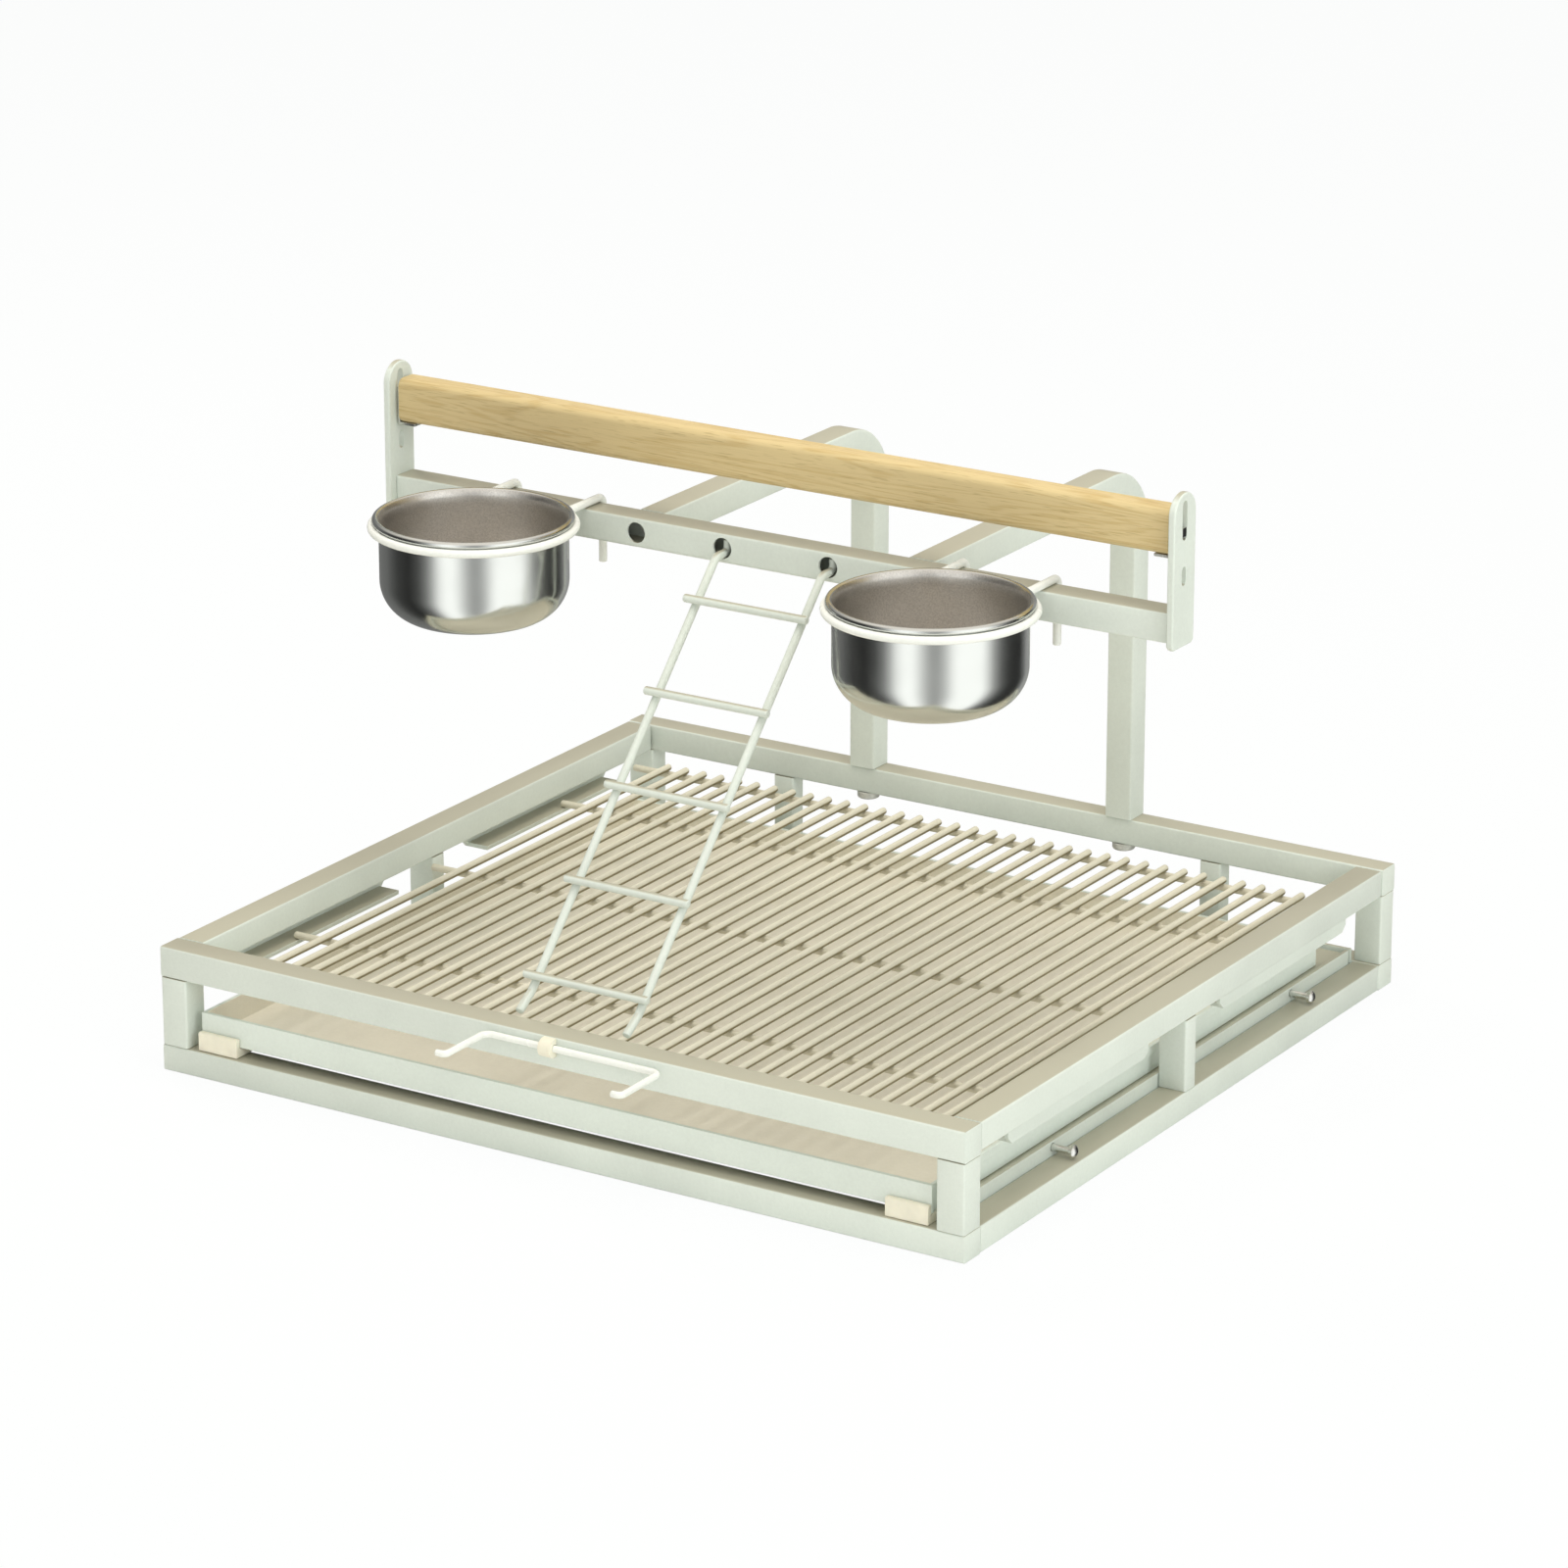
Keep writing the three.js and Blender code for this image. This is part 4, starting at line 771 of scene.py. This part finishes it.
class PLAYSTAND_OT_base_tubes(bpy.types.Operator):
    """Make the base's rails and posts as round-cornered steel tubes"""

    bl_idname = "play_stand.base_tubes"
    bl_label = "Base tubes"

    def execute(self, context):
        sizes = context.scene.play_stand_sizes
        for place in ("top", "bottom"):
            for side, axis in (("front", 0), ("back", 0), ("left", 1), ("right", 1)):
                self.make(sizes, f"base_{place}_rail_{side}", axis)
        for side, _ in SIDES:
            for post in ("corner_post_front", "corner_post_back", "side_post", "back_post"):
                self.make(sizes, f"base_{post}_{side}", 2)
        return {"FINISHED"}

    def make(self, sizes, node, axis):
        """A round-cornered tube that fills its node's box."""
        low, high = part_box(node)
        shape = tube(low, high, axis, sizes.tube_corner, sizes.tube_end)
        piece(node + "_tube", shape, [finish("tube_enamel")], "base", [node])


class PLAYSTAND_OT_uprights(bpy.types.Operator):
    """Make the two swept uprights as bent steel tubes"""

    bl_idname = "play_stand.uprights"
    bl_label = "Uprights"

    def execute(self, context):
        sizes = context.scene.play_stand_sizes
        for side, _ in SIDES:
            node = f"upright_{side}"
            low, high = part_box(node)
            half = (high.x - low.x) / 2
            x = (low.x + high.x) / 2
            bend = mm(UPRIGHT_BEND) - half
            path = bent_line([(x, high.y - half, low.z), (x, high.y - half, high.z - half),
                              (x, low.y, high.z - half)], [bend], steps=28)
            section = rounded_section(2 * half, 2 * half, sizes.tube_corner)
            piece(f"upright_{side}_tube", sweep(path, section, (1, 0, 0)),
                  [finish("tube_enamel")], "base", [node])
        return {"FINISHED"}


class PLAYSTAND_OT_cross_bar(bpy.types.Operator):
    """Make the hollow cross bar with its round holes, and the slotted end plates"""

    bl_idname = "play_stand.cross_bar"
    bl_label = "Cross bar"

    def execute(self, context):
        sizes = context.scene.play_stand_sizes
        low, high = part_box("cross_bar")
        wall, end, bore_corner, bore_end = mm(1.8), mm(0.2), mm(0.8), mm(0.1)
        bar = piece("cross_bar_tube", tube(low, high, 0, sizes.tube_corner, end),
                    [finish("tube_enamel")], "base", ["cross_bar"])
        bore = tube((low.x - wall, low.y + wall, low.z + wall),
                    (high.x + wall, high.y - wall, high.z - wall), 0, bore_corner, bore_end)
        centres = []
        for side, _ in SIDES:
            for node in (f"bar_bolt_{side}", f"ladder_stile_{side}"):
                first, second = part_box(node)
                centres.append((first.x + second.x) / 2)
        z = (low.z + high.z) / 2
        holes = []
        for x in centres:
            path = [(x, low.y - wall, z), (x, low.y + 2 * wall, z)]
            holes.append(sweep(path, round_section(sizes.hole_radius, 48), (1, 0, 0)))
        carve(bar, [bore, *holes])
        round_edges(bar, sizes.hole_edge)
        for side, _ in SIDES:
            merged_copy(f"end_plate_{side}", finish("tube_enamel"), "base",
                        sizes.sheet_edge)
        return {"FINISHED"}


class PLAYSTAND_OT_perch(bpy.types.Operator):
    """Make the oak perch and its plated brackets"""

    bl_idname = "play_stand.perch"
    bl_label = "Perch"

    def execute(self, context):
        sizes = context.scene.play_stand_sizes
        low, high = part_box("perch")
        shape = tube(low, high, 0, sizes.perch_corner, sizes.perch_end, steps=8)
        piece("perch_oak_bar", shape, [finish("oak")], "perch", ["perch"])
        for side, _ in SIDES:
            merged_copy(f"perch_bracket_{side}", finish("bolt"), "perch",
                        sizes.sheet_edge)
        return {"FINISHED"}


class PLAYSTAND_OT_cup_holders(bpy.types.Operator):
    """Make the wire rings with their two hooks over the bar"""

    bl_idname = "play_stand.cup_holders"
    bl_label = "Cup holders"

    def execute(self, context):
        wire = context.scene.play_stand_sizes.holder_wire
        hook_reach, hook_bend = mm(34), mm(5)
        for side, _ in SIDES:
            node = f"cup_holder_{side}"
            low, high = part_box(node)
            radius = (high.x - low.x) / 2 - wire
            x, y, z = (low.x + high.x) / 2, low.y + wire + radius, high.z - wire
            leg = high.y - wire
            shapes = [wire_ring((x, y, z), radius, wire)]
            for _, sign in SIDES:
                hook_x = x + sign * hook_reach
                root = y + np.sqrt(radius**2 - hook_reach**2) - wire / 2
                path = bent_line([(hook_x, root, z), (hook_x, leg, z), (hook_x, leg, low.z)],
                                 [hook_bend], steps=10)
                shapes.append(eased_wire(path, wire, (1, 0, 0)))
            piece(f"cup_holder_{side}_wire", together(*shapes), [finish("wire_enamel")],
                  node, [node])
        return {"FINISHED"}


class PLAYSTAND_OT_cups(bpy.types.Operator):
    """Make the deep-drawn cups with their rolled rims"""

    bl_idname = "play_stand.cups"
    bl_label = "Cups"

    def execute(self, context):
        for side, _ in SIDES:
            node = f"cup_{side}"
            low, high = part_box(node)
            x, y = (low.x + high.x) / 2, (low.y + high.y) / 2
            bottom, wall, corner = low.z, mm(1.2), mm(27.5)
            bead, bead_inset, segments = mm(2.3), mm(1.9), 128
            neck_top, neck_bottom, lip = mm(4), mm(9), mm(3)
            bead_r, bead_z = (high.x - low.x) / 2 - bead, high.z - bead
            body = bead_r - bead_inset
            flat = body - corner
            outside = np.vstack([
                [[0.0, bottom], [flat * 0.5, bottom]],
                arc((flat, bottom + corner), corner, 270, 360, 20),
                [[body, bead_z - neck_bottom], [body, bead_z - neck_top]],
                arc((bead_r, bead_z), bead, 232, 500, 22),
            ])
            inside = np.vstack([
                [[body - wall, bead_z - lip], [body - wall, bead_z - neck_bottom]],
                arc((flat, bottom + corner), corner - wall, 360, 270, 20),
                [[flat * 0.5, bottom + wall], [0.0, bottom + wall]],
            ])
            shape = turned(np.vstack([outside, inside]), (x, y, 0.0), segments=segments)
            # the rows inside and the last fan of the floor take the second finish
            rows = len(outside) + len(inside) - 3
            finish_of = np.zeros(len(shape[1]), int)
            finish_of[(len(outside) - 2) * segments:rows * segments] = 1
            finish_of[-segments:] = 1
            piece(f"cup_{side}_steel", shape, [finish("polished"), finish("satin")],
                  node, [node], finish_of, angle=60)
        return {"FINISHED"}


class PLAYSTAND_OT_ladder(bpy.types.Operator):
    """Make the wire ladder: two hooked stiles with five rungs across them"""

    bl_idname = "play_stand.ladder"
    bl_label = "Ladder"

    def execute(self, context):
        wire = context.scene.play_stand_sizes.ladder_wire
        base_low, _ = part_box("base_top_rail_front")
        _, base_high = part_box("base_top_rail_back")
        bar_low, bar_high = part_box("cross_bar")
        front, top = base_low.y, base_high.z
        bar_front, bar_top = bar_low.y, bar_high.z
        # the stile runs through the knee above the front rail and a point before the bar
        knee = np.array((front + mm(41), top + mm(9.2)))
        first = np.array((bar_front - mm(31.2), bar_top - mm(39.6)))
        slope = (first[1] - knee[1]) / (first[0] - knee[0])
        bar_half, hole, gap = mm(10), mm(7), mm(0.3)
        hook_y, hook_z = bar_front + mm(7), bar_top - bar_half - hole + gap + wire
        tip_z = bar_top - mm(5.5)
        toe = (front + mm(26.5), top - mm(0.2))
        bends = [mm(4), mm(8), mm(8)]
        bend_y = first[0] + (hook_z - first[1]) / slope
        for side, _ in SIDES:
            node = f"ladder_stile_{side}"
            low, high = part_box(node)
            x = (low.x + high.x) / 2
            path = bent_line([(x, hook_y, tip_z), (x, hook_y, hook_z), (x, bend_y, hook_z),
                              (x, *knee), (x, *toe)], bends, steps=10)
            piece(f"ladder_stile_{side}_wire", eased_wire(path, wire, (1, 0, 0)),
                  [finish("tube_enamel")], "ladder", [node])
        for i in range(1, 6):
            node = f"ladder_rung_{i}"
            low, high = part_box(node)
            y, z = (low.y + high.y) / 2, (low.z + high.z) / 2
            path = straight((low.x, y, z), (high.x, y, z), wire)
            piece(f"ladder_rung_{i}_wire", eased_wire(path, wire, (0, 1, 0)),
                  [finish("tube_enamel")], "ladder", [node])
        return {"FINISHED"}


class PLAYSTAND_OT_grate(bpy.types.Operator):
    """Make the grate's long and cross wires, and the ledges that carry it"""

    bl_idname = "play_stand.grate"
    bl_label = "Grate"

    def execute(self, context):
        sizes = context.scene.play_stand_sizes
        wire = sizes.grate_wire
        low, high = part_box("grate")
        count, across, sink, inset = 35, 512, mm(0.4), mm(3.2)
        pitch = mm(across / (count - 1))
        cross_z = low.z + wire
        long_z = cross_z + 2 * wire - sink
        middle = (low.x + high.x) / 2
        first = middle - (count - 1) * pitch / 2
        long_wires = []
        for i in range(count):
            x = first + i * pitch
            path = straight((x, low.y, long_z), (x, high.y, long_z), wire)
            long_wires.append(eased_wire(path, wire, (1, 0, 0), sides=14, ease=0.45))
        piece("grate_long_wires", together(*long_wires), [finish("grate_enamel")],
              "grate", ["grate"])
        mid_y, spread = (low.y + high.y) / 2, mm(159)
        cross_wires = []
        for y in (low.y + inset, mid_y - spread, mid_y, mid_y + spread, high.y - inset):
            path = straight((low.x, y, cross_z), (high.x, y, cross_z), wire)
            cross_wires.append(eased_wire(path, wire, (0, 1, 0), sides=14))
        piece("grate_cross_wires", together(*cross_wires), [finish("cross_enamel")],
              "grate", ["grate"])
        for side, _ in SIDES:
            for place in ("front", "back"):
                merged_copy(f"grate_ledge_{place}_{side}", finish("tube_enamel"), "base",
                            sizes.ledge_edge)
        return {"FINISHED"}


class PLAYSTAND_OT_tray(bpy.types.Operator):
    """Make the slide-out tray, its glides, runners and stop"""

    bl_idname = "play_stand.tray"
    bl_label = "Tray"

    def execute(self, context):
        sizes = context.scene.play_stand_sizes
        rim, wall = mm(5), mm(2)
        low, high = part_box("tray")
        tray = merged_copy("tray", finish("tray_enamel"), "tray",
                           sizes.tray_edge, 3)
        mesh = tray.data
        mesh.materials.append(finish("tray_inside_painted_light"))
        count = len(mesh.polygons)
        centre, normal = np.zeros(count * 3), np.zeros(count * 3)
        mesh.polygons.foreach_get("center", centre)
        mesh.polygons.foreach_get("normal", normal)
        centre, normal = centre.reshape(-1, 3), normal.reshape(-1, 3)
        # the floor below the rim, and the upright faces inside the walls, take the paler
        # painted-light copy of the enamel
        inward = (normal[:, 2] > 0.9) & (centre[:, 2] < high.z - rim)
        inward |= (np.abs(normal[:, 2]) < 0.1) & (
            (np.abs(centre[:, 0]) < high.x - wall) & (centre[:, 1] > low.y + wall)
            & (centre[:, 1] < high.y - wall))
        mesh.polygons.foreach_set("material_index", inward.astype(np.int32))
        for side, _ in SIDES:
            merged_copy(f"tray_glide_{side}", finish("plastic"), "tray",
                        sizes.moulded_edge, 3)
            merged_copy(f"tray_runner_{side}", finish("tube_enamel"), "base",
                        sizes.ledge_edge)
        merged_copy("tray_stop", finish("tube_enamel"), "base", sizes.ledge_edge)
        return {"FINISHED"}


class PLAYSTAND_OT_bolts(bpy.types.Operator):
    """Make the socket bolts of the uprights and bar, and the runners' domed bolts"""

    bl_idname = "play_stand.bolts"
    bl_label = "Bolts"

    def execute(self, context):
        for side, sign in SIDES:
            low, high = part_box(f"bar_bolt_{side}")
            x, z = (low.x + high.x) / 2, (low.z + high.z) / 2
            self.make(f"bar_bolt_{side}", (x, low.y, z), "y", high.y - low.y,
                      head=mm(5.4), head_length=mm(5), shank=mm(3), socket=mm(1.5))
            low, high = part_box(f"upright_bolt_{side}")
            x, y = (low.x + high.x) / 2, (low.y + high.y) / 2
            self.make(f"upright_bolt_{side}", (x, y, low.z), "z", high.z - low.z,
                      head=mm(8), head_length=mm(5.2), shank=mm(4), socket=mm(3.6))
            for place in ("front", "back"):
                node = f"runner_bolt_{place}_{side}"
                low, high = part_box(node)
                y, z = (low.y + high.y) / 2, (low.z + high.z) / 2
                x = high.x if sign > 0 else low.x
                self.make(node, (x, y, z), "-x" if sign > 0 else "x", high.x - low.x,
                          head=mm(4.4), head_length=mm(4.6), shank=mm(2.4), coat="bolt")
        return {"FINISHED"}

    def make(self, node, tip, axis, length, head, head_length, shank, socket=0.0, coat="zinc"):
        """A bolt turned in one profile from its head's top: socket or dome, head, shank."""
        if socket:
            corner, lip = mm(1.6), mm(0.25)
            dome = arc((head - corner, corner), corner, -90, 0, 5)
            start = [[0.0, mm(2.2)], [socket * 0.9, mm(2.0)], [socket, lip],
                     [socket + lip, 0.0]]
        else:
            dome = arc((0.0, head * 1.25), head * 1.25, -90, -38, 10)[1:]
            dome = dome * np.array([head / dome[-1, 0], 1.0])
            start = [[0.0, 0.0]]
        burr, point = mm(0.3), mm(0.5)
        profile = np.vstack([
            start, dome, [[head, head_length - burr], [head - burr, head_length],
                          [shank, head_length], [shank, length - point],
                          [shank - point, length], [0.0, length]]])
        piece(node + "_plated", turned(profile, tip, axis, 48), [finish(coat)],
              "base", [node], angle=40)


class PLAYSTAND_OT_bail(bpy.types.Operator):
    """Make the small wire bail across the front rail and the clip that holds it"""

    bl_idname = "play_stand.bail"
    bl_label = "Bail and clip"

    def execute(self, context):
        sizes = context.scene.play_stand_sizes
        wire, foot = sizes.bail_wire, mm(7)
        low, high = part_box("front_bail")
        left, right = low.x + foot, high.x - wire
        tip, back, z = low.y + wire, high.y - wire, (low.z + high.z) / 2
        path = bent_line([(left - foot, tip, z), (left, tip, z), (left, back, z),
                          (right, back, z), (right, tip, z), (right - foot, tip, z)],
                         [mm(3), mm(6), mm(6), mm(3)], steps=10)
        piece("front_bail_wire", eased_wire(path, wire, (0, 0, 1)),
              [finish("wire_enamel")], "front_bail", ["front_bail"])
        merged_copy("bail_clip", finish("plastic"), "base",
                    sizes.moulded_edge, 3)
        return {"FINISHED"}


OPERATORS = (
    PLAYSTAND_OT_stage, PLAYSTAND_OT_base_tubes, PLAYSTAND_OT_uprights,
    PLAYSTAND_OT_cross_bar, PLAYSTAND_OT_perch, PLAYSTAND_OT_cup_holders,
    PLAYSTAND_OT_cups, PLAYSTAND_OT_ladder, PLAYSTAND_OT_grate, PLAYSTAND_OT_tray,
    PLAYSTAND_OT_bolts, PLAYSTAND_OT_bail,
)


class PLAYSTAND_PT_panel(bpy.types.Panel):
    """Lists the stand's pieces and settings"""

    bl_idname = "PLAYSTAND_PT_panel"
    bl_label = "Play Stand"
    bl_space_type = "VIEW_3D"
    bl_region_type = "UI"
    bl_category = "Play Stand"

    def draw(self, context):
        for group in ("play_stand_sizes", "play_stand_colours", "play_stand_stage"):
            box = self.layout.box()
            settings = getattr(context.scene, group)
            for key in settings.__annotations__:
                box.prop(settings, key)
        for operator in OPERATORS:
            self.layout.operator(operator.bl_idname)


GROUPS = (PlayStandSizes, PlayStandColours, PlayStandStage)


def register():
    for kind in (*GROUPS, *OPERATORS, PLAYSTAND_PT_panel):
        bpy.utils.register_class(kind)
    bpy.types.Scene.play_stand_sizes = bpy.props.PointerProperty(type=PlayStandSizes)
    bpy.types.Scene.play_stand_colours = bpy.props.PointerProperty(type=PlayStandColours)
    bpy.types.Scene.play_stand_stage = bpy.props.PointerProperty(type=PlayStandStage)


def unregister():
    del bpy.types.Scene.play_stand_stage
    del bpy.types.Scene.play_stand_colours
    del bpy.types.Scene.play_stand_sizes
    for kind in reversed((*GROUPS, *OPERATORS, PLAYSTAND_PT_panel)):
        bpy.utils.unregister_class(kind)


def main():
    register()
    for operator in OPERATORS:
        group, name = operator.bl_idname.split(".")
        getattr(getattr(bpy.ops, group), name)()


if __name__ == "__main__":
    main()
